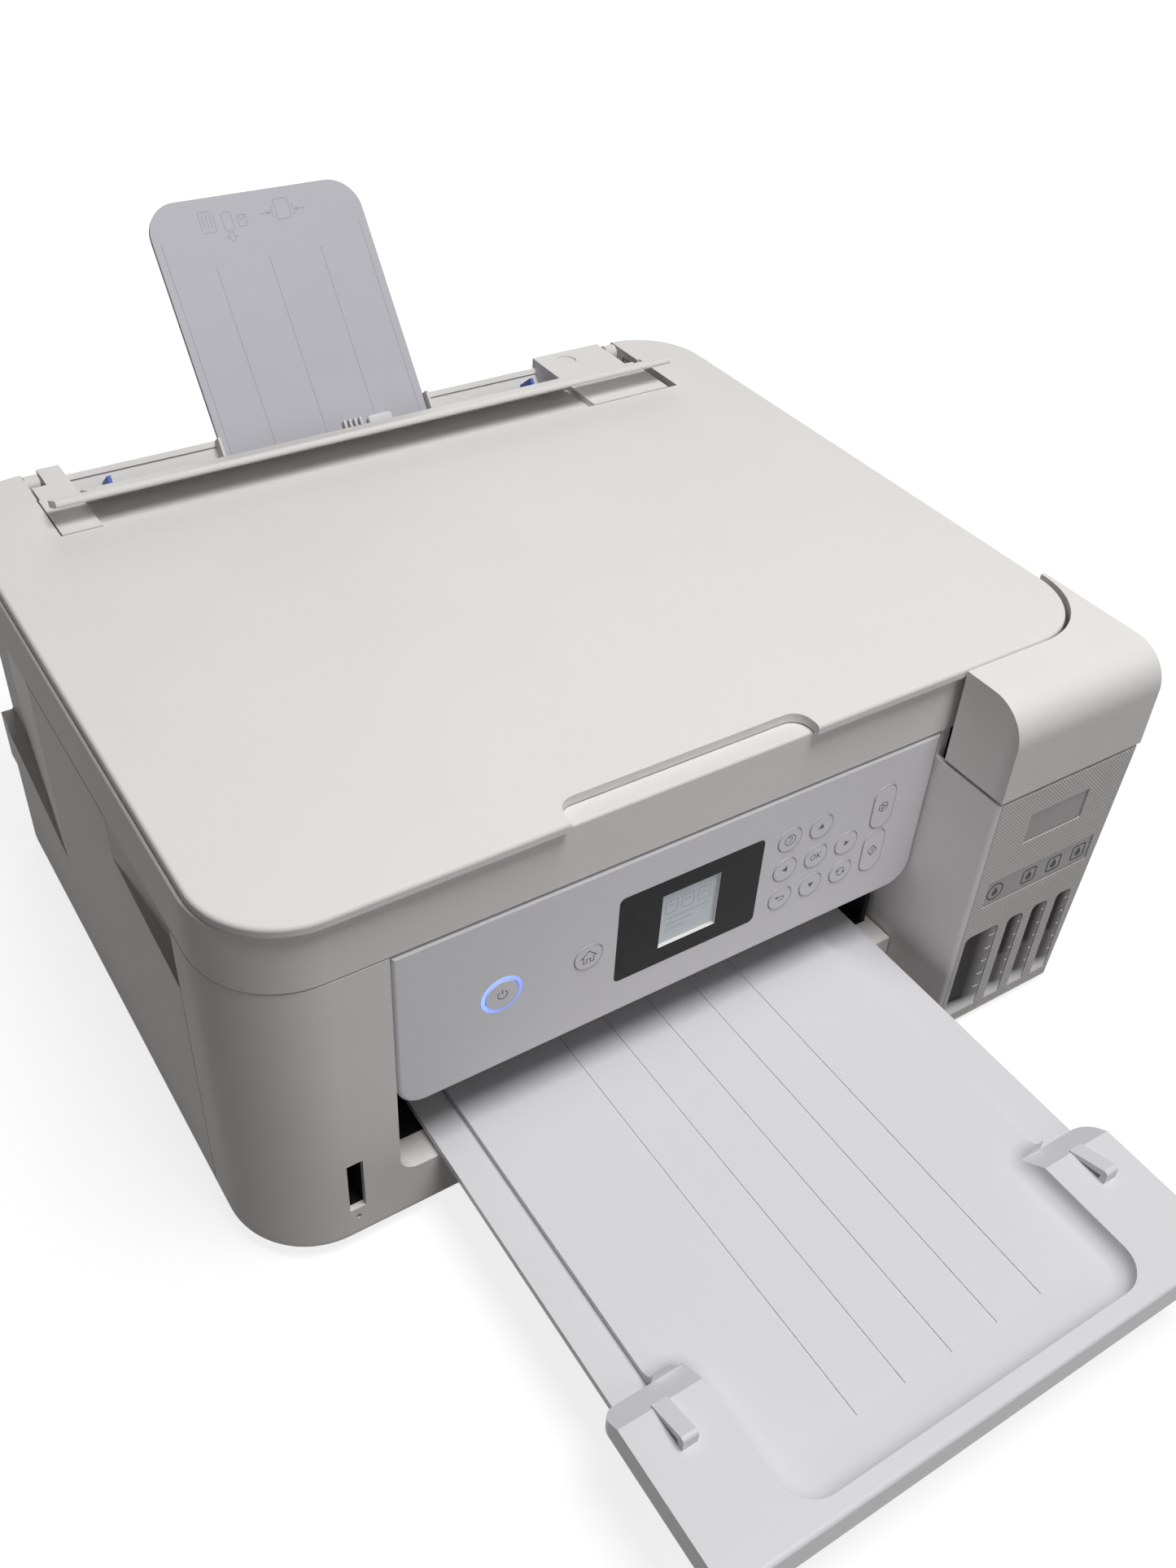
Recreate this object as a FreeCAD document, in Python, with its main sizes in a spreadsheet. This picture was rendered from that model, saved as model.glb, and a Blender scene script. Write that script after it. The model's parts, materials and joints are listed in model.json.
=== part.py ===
import FreeCAD, Part

import os
import re

# Inkjet printer with scanner, tilting panel, rear feeder and ink tanks.
# Millimetres. The front faces -Y, +X is the right side seen from the front, +Z is up.
# The origin lies on the floor under the middle of the whole printer, with its tray out and its support up.

SIZES = {
    # Whole case
    "case_width": 375,
    "front_face": -138,
    "rear_face": 167,
    "frame_shift": 46.584,
    "tank_face": -173.5,
    "foot_height": 4,
    "seam_level": 148,
    "seam_gap": 0.8,
    "case_wall": 2.5,
    "corner_radius": 34,
    "front_split": -90,
    "split_gap": 0.6,
    "foot_edge_radius": 5,
    "case_lift": 0.4,
    "pan_thickness": 4,
    "pan_clearance": 0.3,
    "foot_radius": 9,
    "rear_foot": 140,
    "front_foot": -108,
    "tank_foot": -150,
    # Finger recesses in the left wall
    "recess_depth": 7,
    "recess_backing": 2.2,
    "front_recess_end": -28,
    "front_recess_level": 118,
    "front_recess_rise": 10,
    "rear_recess_start": 62,
    "rear_recess_level": 72,
    "rear_recess_drop": 18,
    "rear_recess_run": 19.5,
    # Front cover and paper opening
    "sill_level": 31.5,
    "sill_depth": 13.6,
    "sill_radius": 8,
    "card_slot_inset": 0.3,
    "card_slot_width": 6.4,
    "card_slot_low": 23,
    "card_slot_height": 27,
    "card_slot_depth": 14,
    "card_light_height": 18,
    "card_light_radius": 1.1,
    # Tank unit
    "tank_level": 134,
    "tank_wall": 2.2,
    "tank_taper": 8,
    "tank_edge_radius": 2.5,
    "window_low": 10,
    "window_high": 60,
    "window_radius": 2.8,
    "tank_flank": 1.2,
    "tank_slack": 0.25,
    "black_window_share": 0.302548,
    "window_share": 0.146497,
    "plate_low": 106,
    "plate_height": 15.5,
    "plate_depth": 0.6,
    "strip_low": 76,
    "strip_height": 14,
    "strip_depth": 0.5,
    "tank_play": 0.4,
    "tank_back": -98,
    "tank_top": 124,
    "neck_radius": 4.2,
    "neck_top": 133,
    "neck_setback": 13,
    "cap_seat": 0.3,
    "cap_thickness": 4,
    "cap_width": 10,
    "cap_reach": 11,
    "cap_front": 7,
    "cap_pin_radius": 1.3,
    "cap_barrel": 2.4,
    "cap_barrel_half": 2.4,
    "cap_post": 1.8,
    "cap_post_half": 1.8,
    "cap_side_gap": 0.3,
    "cap_fit": 0.06,
    "lid_gap": 1.8,
    "lid_corner_gap": 1.0,
    "lid_top": 178.8,
    "lid_bullnose": 17,
    "lid_wall": 2.2,
    "lid_back": -106,
    "lid_pin_radius": 1.5,
    "lid_pin_level": 140,
    "lid_pin_inset": 3.5,
    "lid_lug_length": 5,
    "lid_lug_start": -170.5,
    "lid_lug_pitch": 14.5,
    "lid_lug_half": 2.3,
    "lid_lug_gap": 0.4,
    "lid_notch_height": 10,
    "lid_pin_fit": 0.06,
    # Scanner unit
    "scanner_top": 174.6,
    "scanner_radius": 33,
    "scanner_floor": 2.2,
    "bed_front": -122,
    "bed_back": 92,
    "glass_thickness": 3,
    "glass_ledge": 6,
    "glass_play": 0.2,
    "scan_rail_width": 6,
    "scan_rail_height": 3,
    "scan_rail_place": -15,
    "scan_rail_fit": 0.3,
    "scan_bar_width": 16,
    "scan_bar_play": 0.6,
    "rod_fit": 0.05,
    "rim_radius": 1.2,
    "cover_edge_radius": 1.6,
    "wing_relief": 6.2,
    "wing_relief_length": 10,
    "wing_low": 171,
    "wing_length": 8,
    "cover_gap": 0.6,
    "cover_top": 179,
    "cover_inset": 1.3,
    "cover_front": -141,
    "notch_depth": 11.5,
    "notch_radius": 7,
    "pad_thickness": 2,
    "pad_border": 4,
    "bay_front": 108,
    "bay_waist": 141,
    "bay_gap": 0.8,
    "hinge_place": 162,
    "hinge_level": 175,
    "hinge_pin_radius": 2,
    "hinge_fit": 0.05,
    "hinge_lug_width": 6,
    "hinge_lug_radius": 3.8,
    "hinge_block_gap": 0.9,
    "hinge_root_height": 5,
    "hinge_sweep": 10.5,
    "hinge_grip": 7,
    "hinge_clearance": 0.4,
    # Rear feeder
    "feed_lean": 39,
    "feed_top_place": 162,
    "feed_top_level": 174.6,
    "slope_length": 140,
    "slope_above": 1.5,
    "slope_lip_width": 2.6,
    "slope_lip_rise": 1,
    "slope_thickness": 2.5,
    "deck_level": 176,
    "deck_back": 133.5,
    "deck_thickness": 2.5,
    "right_block_gap": 8,
    "left_block_gap": 1.4,
    "block_low": 147.7,
    "block_level": 179,
    "right_end_gap": 3.5,
    "dimple_radius": 5,
    "dimple_depth": 0.9,
    "cheek_thickness": 2.5,
    "cheek_low": 100,
    "support_width": 104,
    "support_height": 108,
    "support_rooted": 22,
    "support_thickness": 2.4,
    "support_radius": 15,
    "support_play": 0.3,
    "rib_thickness": 1.2,
    "rib_height": 4,
    "guide_thickness": 1.6,
    "guide_height": 9.5,
    "guide_length": 44,
    "guide_top": -5,
    "guide_foot": 14,
    "guard_place": 137.5,
    "guard_level": 174.5,
    "guard_lean": 25,
    "guard_length": 29.5,
    "guard_low": 2.5,
    "guard_thickness": 3,
    "guard_barrel": 3.2,
    "guard_pin": 1.5,
    "guard_fit": 0.05,
    "guard_wing_start": 15,
    "guard_end_gap": 1.0,
    # Control panel
    "panel_gap": 0.6,
    "panel_low": 68,
    "panel_high": 146.4,
    "panel_depth": 13,
    "panel_skin": 3.6,
    "panel_wall": 2.4,
    "panel_radius": 11,
    "panel_bevel": 1.6,
    "panel_pin_radius": 2.2,
    "panel_pin_level": 144,
    "panel_pin_setback": 3.5,
    "panel_pin_length": 4,
    "panel_pin_fit": 0.06,
    "panel_post": 5,
    "window_pane_low": 85.3,
    "window_pane_high": 128.9,
    "window_pane_depth": 2.7,
    "window_pane_radius": 2.6,
    "pane_fit": 0.1,
    "screen_low": 93.6,
    "screen_high": 121,
    "screen_recess": 1.7,
    "screen_thickness": 0.6,
    "pad_level": 107.2,
    "button_radius": 5.7,
    "button_fit": 0.25,
    "button_proud": 0.25,
    "button_travel": 0.8,
    "button_flange": 1.2,
    "button_flange_thickness": 1.2,
    "key_level": 106.4,
    "home_radius": 6.1,
    "power_radius": 6.6,
    "ring_inner": 7.0,
    "ring_outer": 8.6,
    "ring_depth": 1.4,
    "capsule_width": 11.4,
    "capsule_height": 22,
    "capsule_flange": 0.45,
    "stop_level": 119,
    "start_level": 95.9,
    "switch_board": 1.6,
    "switch_board_gap": 0.3,
    "switch_board_margin": 3,
    "panel_floor": 6,
    # Output
    "tray_low": 32.4,
    "tray_thickness": 3.6,
    "tray_front": -305,
    "tray_inside": 40,
    "tray_play": 0.2,
    "extension_thickness": 2.8,
    "extension_front": -325,
    "rim_height": 8.5,
    "rim_depth": 7,
    "stop_width": 33,
    "stop_length": 68,
    "stop_ramp": 10,
    "stop_ramp_end": 1.5,
    "rim_blend": 7,
    "rim_corner": 13,
    "hook_width": 6,
    "hook_length": 17,
    "hook_height": 6.5,
    "hook_thickness": 3.4,
    "hook_setback": 9,
    "hook_leg": 2.6,
    "hook_round": 1.5,
    "stop_corner": 6,
    "groove_pitch": 21,
    "groove_width": 0.9,
    "groove_depth": 0.5,
    "groove_end": -300,
    "duct_top": 62,
    "duct_wall": 2.5,
    "duct_front": -124,
    "duct_back": -92,
    # Print mechanism
    "frame_clearance": 11.5,
    "frame_thickness": 2,
    "frame_front": -72,
    "frame_back": 96,
    "frame_top": 126,
    "rail_place": 17,
    "rail_low": 62,
    "guide_rod_radius": 4,
    "guide_rod_place": -4,
    "guide_rod_level": 108,
    "carriage_park": 6,
    "carriage_width": 70,
    "carriage_front": -50,
    "carriage_back": 8,
    "carriage_low": 62,
    "carriage_high": 117,
    "head_height": 4.5,
    "head_border": 6,
    "belt_low": 86,
    "belt_high": 98,
    "belt_thickness": 1.2,
    "belt_front": 9.5,
    "belt_width": 4,
    "pulley_gap": 0.15,
    "motor_radius": 14,
    "motor_length": 30,
    "motor_shaft": 2.5,
    "paper_level": 56,
    "platen_depth": 8,
    "platen_front": -47,
    "platen_back": 8,
    "platen_gap": 10,
    "shaft_radius": 4,
    "shaft_fit": 0.06,
    "feed_place": 21,
    "feed_radius": 7,
    "eject_place": -60,
    "eject_radius": 6,
    "pickup_height": 98,
    "pickup_radius": 18,
    "pickup_width": 34,
    "roller_clearance": 0.5,
    "gear_radius": 14,
    "gear_thickness": 4,
    "gear_gap": 0.6,
    "station_park": 8,
    "station_width": 64,
    "station_play": 0.5,
    # Electrics and rear
    "board_width": 150,
    "board_front": 92,
    "board_depth": 60,
    "board_thickness": 1.6,
    "standoff_height": 6,
    "standoff_radius": 3,
    "standoff_inset": 6,
    "supply_gap": 27.5,
    "supply_width": 90,
    "supply_front": 92,
    "supply_depth": 62,
    "supply_height": 44,
    "inlet_level": 30,
    "inlet_width": 24,
    "inlet_height": 16,
    "inlet_depth": 12,
    "inlet_wall": 2.5,
    "inlet_hollow": 8,
    "port_width": 13,
    "port_height": 12,
    "port_depth": 16,
    "socket_fit": 0.3,
    "rear_cover_width": 180,
    "rear_cover_low": 62,
    "rear_cover_height": 74,
    "rear_cover_proud": 6.5,
    "rear_cover_inside": 8,
    "rear_cover_wall": 2.4,
    "rear_cover_fit": 0.5,
    "screw_radius": 3.2,
    "screw_head": 1.6,
    "screw_shank_radius": 1.5,
    "screw_length": 6,
    "screw_fit": 0.05,
    "screw_level": 30,
}

# Places and widths across the case, each a share of its width
SHARES = {
    "column_right": -0.352,
    "tank_left": 0.291733,
    "plate_left": 0.348,
    "plate_width": 0.088,
    "strip_left": 0.312,
    "strip_width": 0.162667,
    "bed_left": -0.44,
    "bed_right": 0.413333,
    "scanner_right": 0.492,
    "notch_left": -0.176,
    "notch_right": 0.101333,
    "bay_left": -0.409067,
    "bay_right": 0.405333,
    "bay_waist_left": -0.408,
    "bay_waist_right": 0.401333,
    "feed_centre": -0.033333,
    "slope_left": -0.362667,
    "slope_right": 0.277333,
    "guide_reach": 0.282667,
    "guard_left": -0.405333,
    "guard_right": 0.399467,
    "window_pane_left": -0.110933,
    "window_pane_right": 0.064267,
    "screen_left": -0.0592,
    "screen_right": 0.012267,
    "pad_place": 0.0976,
    "pad_pitch": 0.041333,
    "home_place": -0.143467,
    "power_place": -0.239467,
    "stop_place": 0.225333,
    "start_place": 0.2232,
    "tray_left": -0.309333,
    "tray_right": 0.258667,
    "extension_left": -0.272,
    "extension_right": 0.205333,
    "lip_left": -0.326667,
    "lip_right": 0.266667,
    "groove_middle": -0.024,
    "belt_end": 0.4,
    "board_left": -0.32,
    "inlet_place": 0.298667,
    "port_place": 0.026667,
    "rear_cover_left": -0.28,
    "screw_spread": 0.386667,
    "foot_spread": 0.4,
}

FUNCTIONS = {"sin", "cos", "tan", "sqrt", "pow"}

doc = FreeCAD.newDocument("inkjet_printer")
sheet = doc.addObject("Spreadsheet::Sheet", "Sizes")
for row, (alias, number) in enumerate([*SIZES.items(), *SHARES.items()], start=1):
    sheet.set(f"A{row}", alias.replace("_", " "))
    sheet.set(f"B{row}", str(number))
    sheet.setAlias(f"B{row}", alias)
doc.recompute()


# Helpers

def linked(text):
    """The expression with each size name pointed at the sheet, and each share multiplied by the width."""
    def point(match):
        word = match.group(0)
        if word in SHARES:
            return f"(Sizes.case_width * Sizes.{word})"
        return word if word in FUNCTIONS else "Sizes." + word
    return re.sub(r"[a-z][a-z_]*", point, text)


def bind(thing, prop, text):
    thing.setExpression(prop, linked(text))


def place(thing, x="0", y="0", z="0"):
    """Bind where a thing stands."""
    bind(thing, "Placement.Base.x", x)
    bind(thing, "Placement.Base.y", y)
    bind(thing, "Placement.Base.z", z)


def new_body(label):
    body = doc.addObject("PartDesign::Body", label)
    body.Label = label
    place(body, y="frame_shift")
    return body


def turned(axis, angle=90):
    return FreeCAD.Placement(FreeCAD.Vector(), FreeCAD.Rotation(FreeCAD.Vector(*axis), angle))


def block(body, x, y, z, cut=False):
    """A box between two expressions on each axis, added to a body or cut from it."""
    kind = "SubtractiveBox" if cut else "AdditiveBox"
    box = body.newObject("PartDesign::" + kind, body.Name + "_block")
    for prop, (low, high) in (("Length", x), ("Width", y), ("Height", z)):
        bind(box, prop, f"({high}) - ({low})")
    place(box, x[0], y[0], z[0])
    return box


def rod(body, axis, radius, span, first, second, cut=False):
    """A cylinder along x, y or z. first and second are its other two coordinates, in order."""
    kind = "SubtractiveCylinder" if cut else "AdditiveCylinder"
    bar = body.newObject("PartDesign::" + kind, body.Name + "_rod")
    bind(bar, "Radius", radius)
    bind(bar, "Height", f"({span[1]}) - ({span[0]})")
    if axis == "x":
        bar.Placement = turned((0, 1, 0))
        place(bar, span[0], first, second)
    elif axis == "y":
        bar.Placement = turned((1, 0, 0), -90)
        place(bar, first, span[0], second)
    else:
        place(bar, first, second, span[0])
    return bar


SIDES = {
    "left": ("XMin", "XMax", "XMin"),
    "right": ("XMax", "XMin", "XMax"),
    "front": ("YMin", "YMax", "YMin"),
    "back": ("YMax", "YMin", "YMax"),
    "bottom": ("ZMin", "ZMax", "ZMin"),
    "top": ("ZMax", "ZMin", "ZMax"),
}


def tight_box(shape):
    return shape.optimalBoundingBox(False, False)


def lies_on(piece, whole, sides):
    """Whether an edge or face lies in every named side of the whole shape's box."""
    for side in sides.split():
        plane, inner, outer = SIDES[side]
        level = getattr(whole, plane)
        if abs(getattr(piece, inner) - level) > 0.01 or abs(getattr(piece, outer) - level) > 0.01:
            return False
    return True


def edges_on(body, *corners):
    doc.recompute()
    shape = body.Tip.Shape
    whole = tight_box(shape)
    return [f"Edge{i}" for i, edge in enumerate(shape.Edges, start=1)
            if any(lies_on(tight_box(edge), whole, sides) for sides in corners)]


def edges_near(body, axis, points):
    """Straight edges along one axis that pass within reach of the given points."""
    doc.recompute()
    names = []
    for i, edge in enumerate(body.Tip.Shape.Edges, start=1):
        box = tight_box(edge)
        sizes = {"x": box.XLength, "y": box.YLength, "z": box.ZLength}
        if sizes[axis] < 0.1 or sum(sizes.values()) - sizes[axis] > 0.05:
            continue
        middle = {"x": box.Center.x, "y": box.Center.y, "z": box.Center.z}
        others = [middle[name] for name in "xyz" if name != axis]
        if any(abs(others[0] - a) + abs(others[1] - b) < 0.05 for a, b in points):
            names.append(f"Edge{i}")
    return names


def soften(body, names, size, bevel=False):
    """Round or bevel the named edges of a body."""
    kind = "Chamfer" if bevel else "Fillet"
    before = body.Tip
    edge = body.newObject("PartDesign::" + kind, body.Name + "_" + kind.lower())
    edge.Base = (before, names)
    bind(edge, "Size" if bevel else "Radius", size)
    return edge


def well(body, x, y, z, radius, *corners):
    """Cut a box with some corners rounded: upright ones, or those along y where they name top or bottom."""
    named = " ".join(corners)
    level = "top" in named or "bottom" in named
    low, high = ("bottom", "top") if level else ("front", "back")
    x_short = shortened(x, radius, "left" in named, "right" in named)
    other_short = shortened(z if level else y, radius, low in named, high in named)
    block(body, x, *((y, other_short) if level else (other_short, z)), cut=True)
    block(body, x_short, y, z, cut=True)
    for corner in corners:
        middle = x_short["right" in corner], other_short[high in corner]
        rod(body, "y" if level else "z", radius, y if level else z, *middle, cut=True)


def shortened(span, radius, at_start, at_end):
    """A span without the stretch that a rounded corner takes at either end."""
    start = f"{span[0]} + {radius}" if at_start else span[0]
    end = f"{span[1]} - ({radius})" if at_end else span[1]
    return start, end


def hollow(body, wall, *open_sides):
    """Turn a body into a shell that is open on the named sides."""
    doc.recompute()
    before = body.Tip
    whole = tight_box(before.Shape)
    faces = [f"Face{i}" for i, face in enumerate(before.Shape.Faces, start=1)
             if any(lies_on(tight_box(face), whole, side) for side in open_sides)]
    shell = body.newObject("PartDesign::Thickness", body.Name + "_shell")
    shell.Base = (before, faces)
    shell.Reversed = True
    shell.Mode = 0
    shell.Join = 1
    bind(shell, "Value", wall)
    return shell


def size(name):
    number = float(sheet.get(name))
    return number * size("case_width") if name in SHARES else number


HALF = "case_width / 2"


# Levels and places that several pieces share
LOW = "foot_height + case_lift"
HIGH = "seam_level - seam_gap"
PAN_TOP = "foot_height + pan_thickness"
BOARD_TOP = f"{PAN_TOP} + standoff_height + board_thickness"
COVER_LOW = "scanner_top + cover_gap"
LID_LOW = "tank_level + lid_gap"


# Case

def make_base_pan():
    body = new_body("base_pan")
    side = f"{HALF} - case_wall - foot_edge_radius - pan_clearance"
    back = "rear_face - case_wall - foot_edge_radius - pan_clearance"
    front = "front_face + case_wall + foot_edge_radius + pan_clearance"
    block(body, (f"-({side})", side), ("front_split", back), ("foot_height", PAN_TOP))
    soften(body, edges_on(body, "left back", "right back"), "corner_radius - case_wall")
    block(body, (f"-({side})", "tank_left - case_wall * 2"), (front, "front_split + 1"),
          ("foot_height", PAN_TOP))
    soften(body, edges_on(body, "left front"), "corner_radius - case_wall")
    for x in ("board_left + standoff_inset", "board_left + board_width - standoff_inset"):
        for y in ("board_front + standoff_inset", "board_front + board_depth - standoff_inset"):
            rod(body, "z", "standoff_radius", (f"{PAN_TOP} - 1", f"{PAN_TOP} + standoff_height"), x, y)
    return body


def make_feet():
    body = new_body("feet")
    for x, y in (("-foot_spread", "rear_foot"), ("foot_spread", "rear_foot"),
                 ("-foot_spread", "front_foot"), ("foot_spread", "tank_foot")):
        rod(body, "z", "foot_radius", ("0", "foot_height"), x, y)
    return body


def recess(body, start, end, deep_first, level, far_level):
    """A finger recess in the left wall, whose depth runs out to nothing at one end."""
    cutter = body.newObject("PartDesign::SubtractiveWedge", body.Name + "_recess")
    deep = f"-({HALF}) + recess_depth"
    shallow = f"-({HALF}) + 0.05"
    outside = f"-({HALF}) - 1"
    depths = (deep, shallow) if deep_first else (shallow, deep)
    for prop, text in (("Xmin", outside), ("X2min", outside), ("Xmax", depths[0]), ("X2max", depths[1]),
                       ("Ymin", start), ("Ymax", end), ("Zmin", level), ("Z2min", far_level),
                       ("Zmax", "seam_level + 1"), ("Z2max", "seam_level + 1")):
        bind(cutter, prop, text)


def make_main_case():
    body = new_body("main_case")
    block(body, (f"-({HALF})", HALF), ("front_split", "rear_face"), (LOW, HIGH))
    soften(body, edges_on(body, "left back", "right back"), "corner_radius")
    soften(body, edges_on(body, "left bottom", "right bottom", "back bottom"), "foot_edge_radius")
    side, back = f"{HALF} - case_wall", "rear_face - case_wall"
    rim = f"{LOW} + foot_edge_radius"
    well(body, (f"-({side})", side), ("front_split - 1", back), (rim, f"{HIGH} + 1"),
         "corner_radius - case_wall",
         "left back", "right back")
    # Opening for the base pan inside the rounded lower rim
    well(body, (f"-({side} - foot_edge_radius)", f"{side} - foot_edge_radius"),
         ("front_split - 1", f"{back} - foot_edge_radius"), (f"{LOW} - 1", f"{rim} + 1"),
         "corner_radius - case_wall - foot_edge_radius", "left back", "right back")
    # Backing behind the two finger recesses, then the recesses themselves
    across = (f"-({HALF}) + case_wall / 2", f"-({HALF}) + recess_depth + recess_backing")
    back_end = "rear_face - corner_radius"
    run_end = f"{back_end} + rear_recess_run"
    block(body, across, ("front_split", "front_recess_end"), ("front_recess_level - recess_depth", HIGH))
    block(body, across, ("rear_recess_start", run_end),
          ("rear_recess_level - rear_recess_drop - recess_depth", HIGH))
    recess(body, "front_split - 1", "front_recess_end", True,
           "front_recess_level", "front_recess_level + front_recess_rise")
    recess(body, "rear_recess_start", back_end, False,
           "rear_recess_level - rear_recess_drop", "rear_recess_level")
    block(body, (f"-({HALF}) - 1", f"-({HALF}) + recess_depth"), (back_end, "rear_face + 1"),
          ("rear_recess_level", "seam_level + 1"), cut=True)
    # Shoulder that fills the right wall behind the tank lid
    block(body, (side, HALF), ("lid_back + split_gap", "front_split + 1"), ("tank_level + split_gap", HIGH))
    # Holes in the rear wall
    back = ("rear_face - case_wall - 1", "rear_face + 1")
    cover_right = "rear_cover_left + rear_cover_width + rear_cover_fit"
    cover_high = "rear_cover_low + rear_cover_height + rear_cover_fit"
    block(body, ("rear_cover_left - rear_cover_fit", cover_right), back,
          ("rear_cover_low - rear_cover_fit", cover_high), cut=True)
    block(body, ("inlet_place - inlet_width / 2 - socket_fit", "inlet_place + inlet_width / 2 + socket_fit"),
          back,
          ("inlet_level - inlet_height / 2 - socket_fit",
           "inlet_level + inlet_height / 2 + socket_fit"), cut=True)
    block(body, ("port_place - port_width / 2 - socket_fit", "port_place + port_width / 2 + socket_fit"),
          back,
          (f"{BOARD_TOP} - socket_fit", f"{BOARD_TOP} + port_height + socket_fit"), cut=True)
    for x in ("-screw_spread", "screw_spread"):
        rod(body, "y", "screw_shank_radius + screw_fit", back, x, "screw_level", cut=True)
    return body


def make_screws():
    body = new_body("screws")
    for x in ("-screw_spread", "screw_spread"):
        rod(body, "y", "screw_radius", ("rear_face", "rear_face + screw_head"), x, "screw_level")
        rod(body, "y", "screw_shank_radius", ("rear_face - screw_length", "rear_face + 0.5"), x,
            "screw_level")
    return body


CARD_LEFT = f"(-({HALF}) + corner_radius + card_slot_inset)"


def make_front_cover():
    body = new_body("front_cover")
    right = "tank_left - split_gap"
    back = "front_split - split_gap"
    block(body, (f"-({HALF})", right), ("front_face", back), (LOW, HIGH))
    soften(body, edges_on(body, "left front"), "corner_radius")
    soften(body, edges_on(body, "left bottom", "front bottom"), "foot_edge_radius")
    left, front, end = f"-({HALF}) + case_wall", "front_face + case_wall", f"{right} - case_wall"
    rim = f"{LOW} + foot_edge_radius"
    well(body, (left, end), (front, f"{back} + 1"), (rim, f"{HIGH} - case_wall"),
         "corner_radius - case_wall",
         "left front")
    # Opening for the base pan inside the rounded lower rim
    well(body, (f"{left} + foot_edge_radius", end), (f"{front} + foot_edge_radius", f"{back} + 1"),
         (f"{LOW} - 1", f"{rim} + 1"), "corner_radius - case_wall - foot_edge_radius", "left front")
    # Paper opening, with the column's wall and the sill beside it
    block(body, ("column_right", "tank_left"), ("front_face - 1", "front_split"),
          ("sill_level", f"{HIGH} + 1"),
          cut=True)
    block(body, ("column_right - case_wall", "column_right"), ("front_face + 1", back),
          (f"{LOW} + foot_edge_radius", HIGH))
    block(body, ("column_right - 1", right), ("front_face + 1", "front_face + sill_depth"),
          ("sill_level - case_wall", "sill_level"))
    corner = edges_near(body, "y", [(size("column_right"), size("sill_level"))])
    soften(body, corner, "sill_radius")
    block(body, (CARD_LEFT, f"{CARD_LEFT} + card_slot_width"),
          ("front_face - 1", "front_face + case_wall + 1"),
          ("card_slot_low", "card_slot_low + card_slot_height"), cut=True)
    rod(body, "y", "card_light_radius", ("front_face - 1", "front_face + case_wall + 1"),
        f"{CARD_LEFT} + card_slot_width / 2", "card_light_height", cut=True)
    panel_pin(body, ("column_right - case_wall - 1", "column_right + 1"), "panel_pin_fit", cut=True)
    return body


def make_card_reader():
    body = new_body("card_reader")
    front = "front_face + case_wall + pan_clearance"
    block(body, (f"{CARD_LEFT} - case_wall", f"{CARD_LEFT} + card_slot_width + case_wall"),
          (front, f"{front} + card_slot_depth + case_wall"),
          ("card_slot_low - case_wall", "card_slot_low + card_slot_height + case_wall"))
    block(body, (CARD_LEFT, f"{CARD_LEFT} + card_slot_width"),
          (f"{front} - 1", f"{front} + card_slot_depth"),
          ("card_slot_low", "card_slot_low + card_slot_height"), cut=True)
    return body


def make_rear_cover():
    body = new_body("rear_cover")
    right = "rear_cover_left + rear_cover_width"
    high = "rear_cover_low + rear_cover_height"
    front = "rear_face - case_wall - rear_cover_inside"
    back = "rear_face + rear_cover_proud"
    block(body, ("rear_cover_left", right), (front, back), ("rear_cover_low", high))
    soften(body, edges_on(body, "back left", "back right", "back top", "back bottom"), "rear_cover_wall")
    block(body, ("rear_cover_left + rear_cover_wall", f"{right} - rear_cover_wall"),
          (f"{front} - 1", f"{back} - rear_cover_wall"),
          ("rear_cover_low + rear_cover_wall", f"{high} - rear_cover_wall"), cut=True)
    return body


# Tank unit

TANKS = ("black", "yellow", "magenta", "cyan")


# Inside of the tank unit at its narrow foot, and the windows as shares of it
WINDOWS_LEFT = "tank_left + tank_wall + tank_flank + tank_slack"
WINDOWS_WIDTH = f"({HALF} - tank_taper - tank_left - 2 * (tank_wall + tank_flank + tank_slack))"
BLACK_WIDTH = f"black_window_share * {WINDOWS_WIDTH}"
WINDOW_WIDTH = f"window_share * {WINDOWS_WIDTH}"
WINDOW_GAP = f"((1 - black_window_share) / 3 - window_share) * {WINDOWS_WIDTH}"


def window_span(index):
    """Left and right edge of a tank window."""
    if index == 0:
        return WINDOWS_LEFT, f"{WINDOWS_LEFT} + {BLACK_WIDTH}"
    left = f"{WINDOWS_LEFT} + {BLACK_WIDTH} + {index} * {WINDOW_GAP} + {index - 1} * {WINDOW_WIDTH}"
    return left, f"{left} + {WINDOW_WIDTH}"


def window_middle(index):
    left, right = window_span(index)
    return f"(({left}) + ({right})) / 2"


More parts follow.
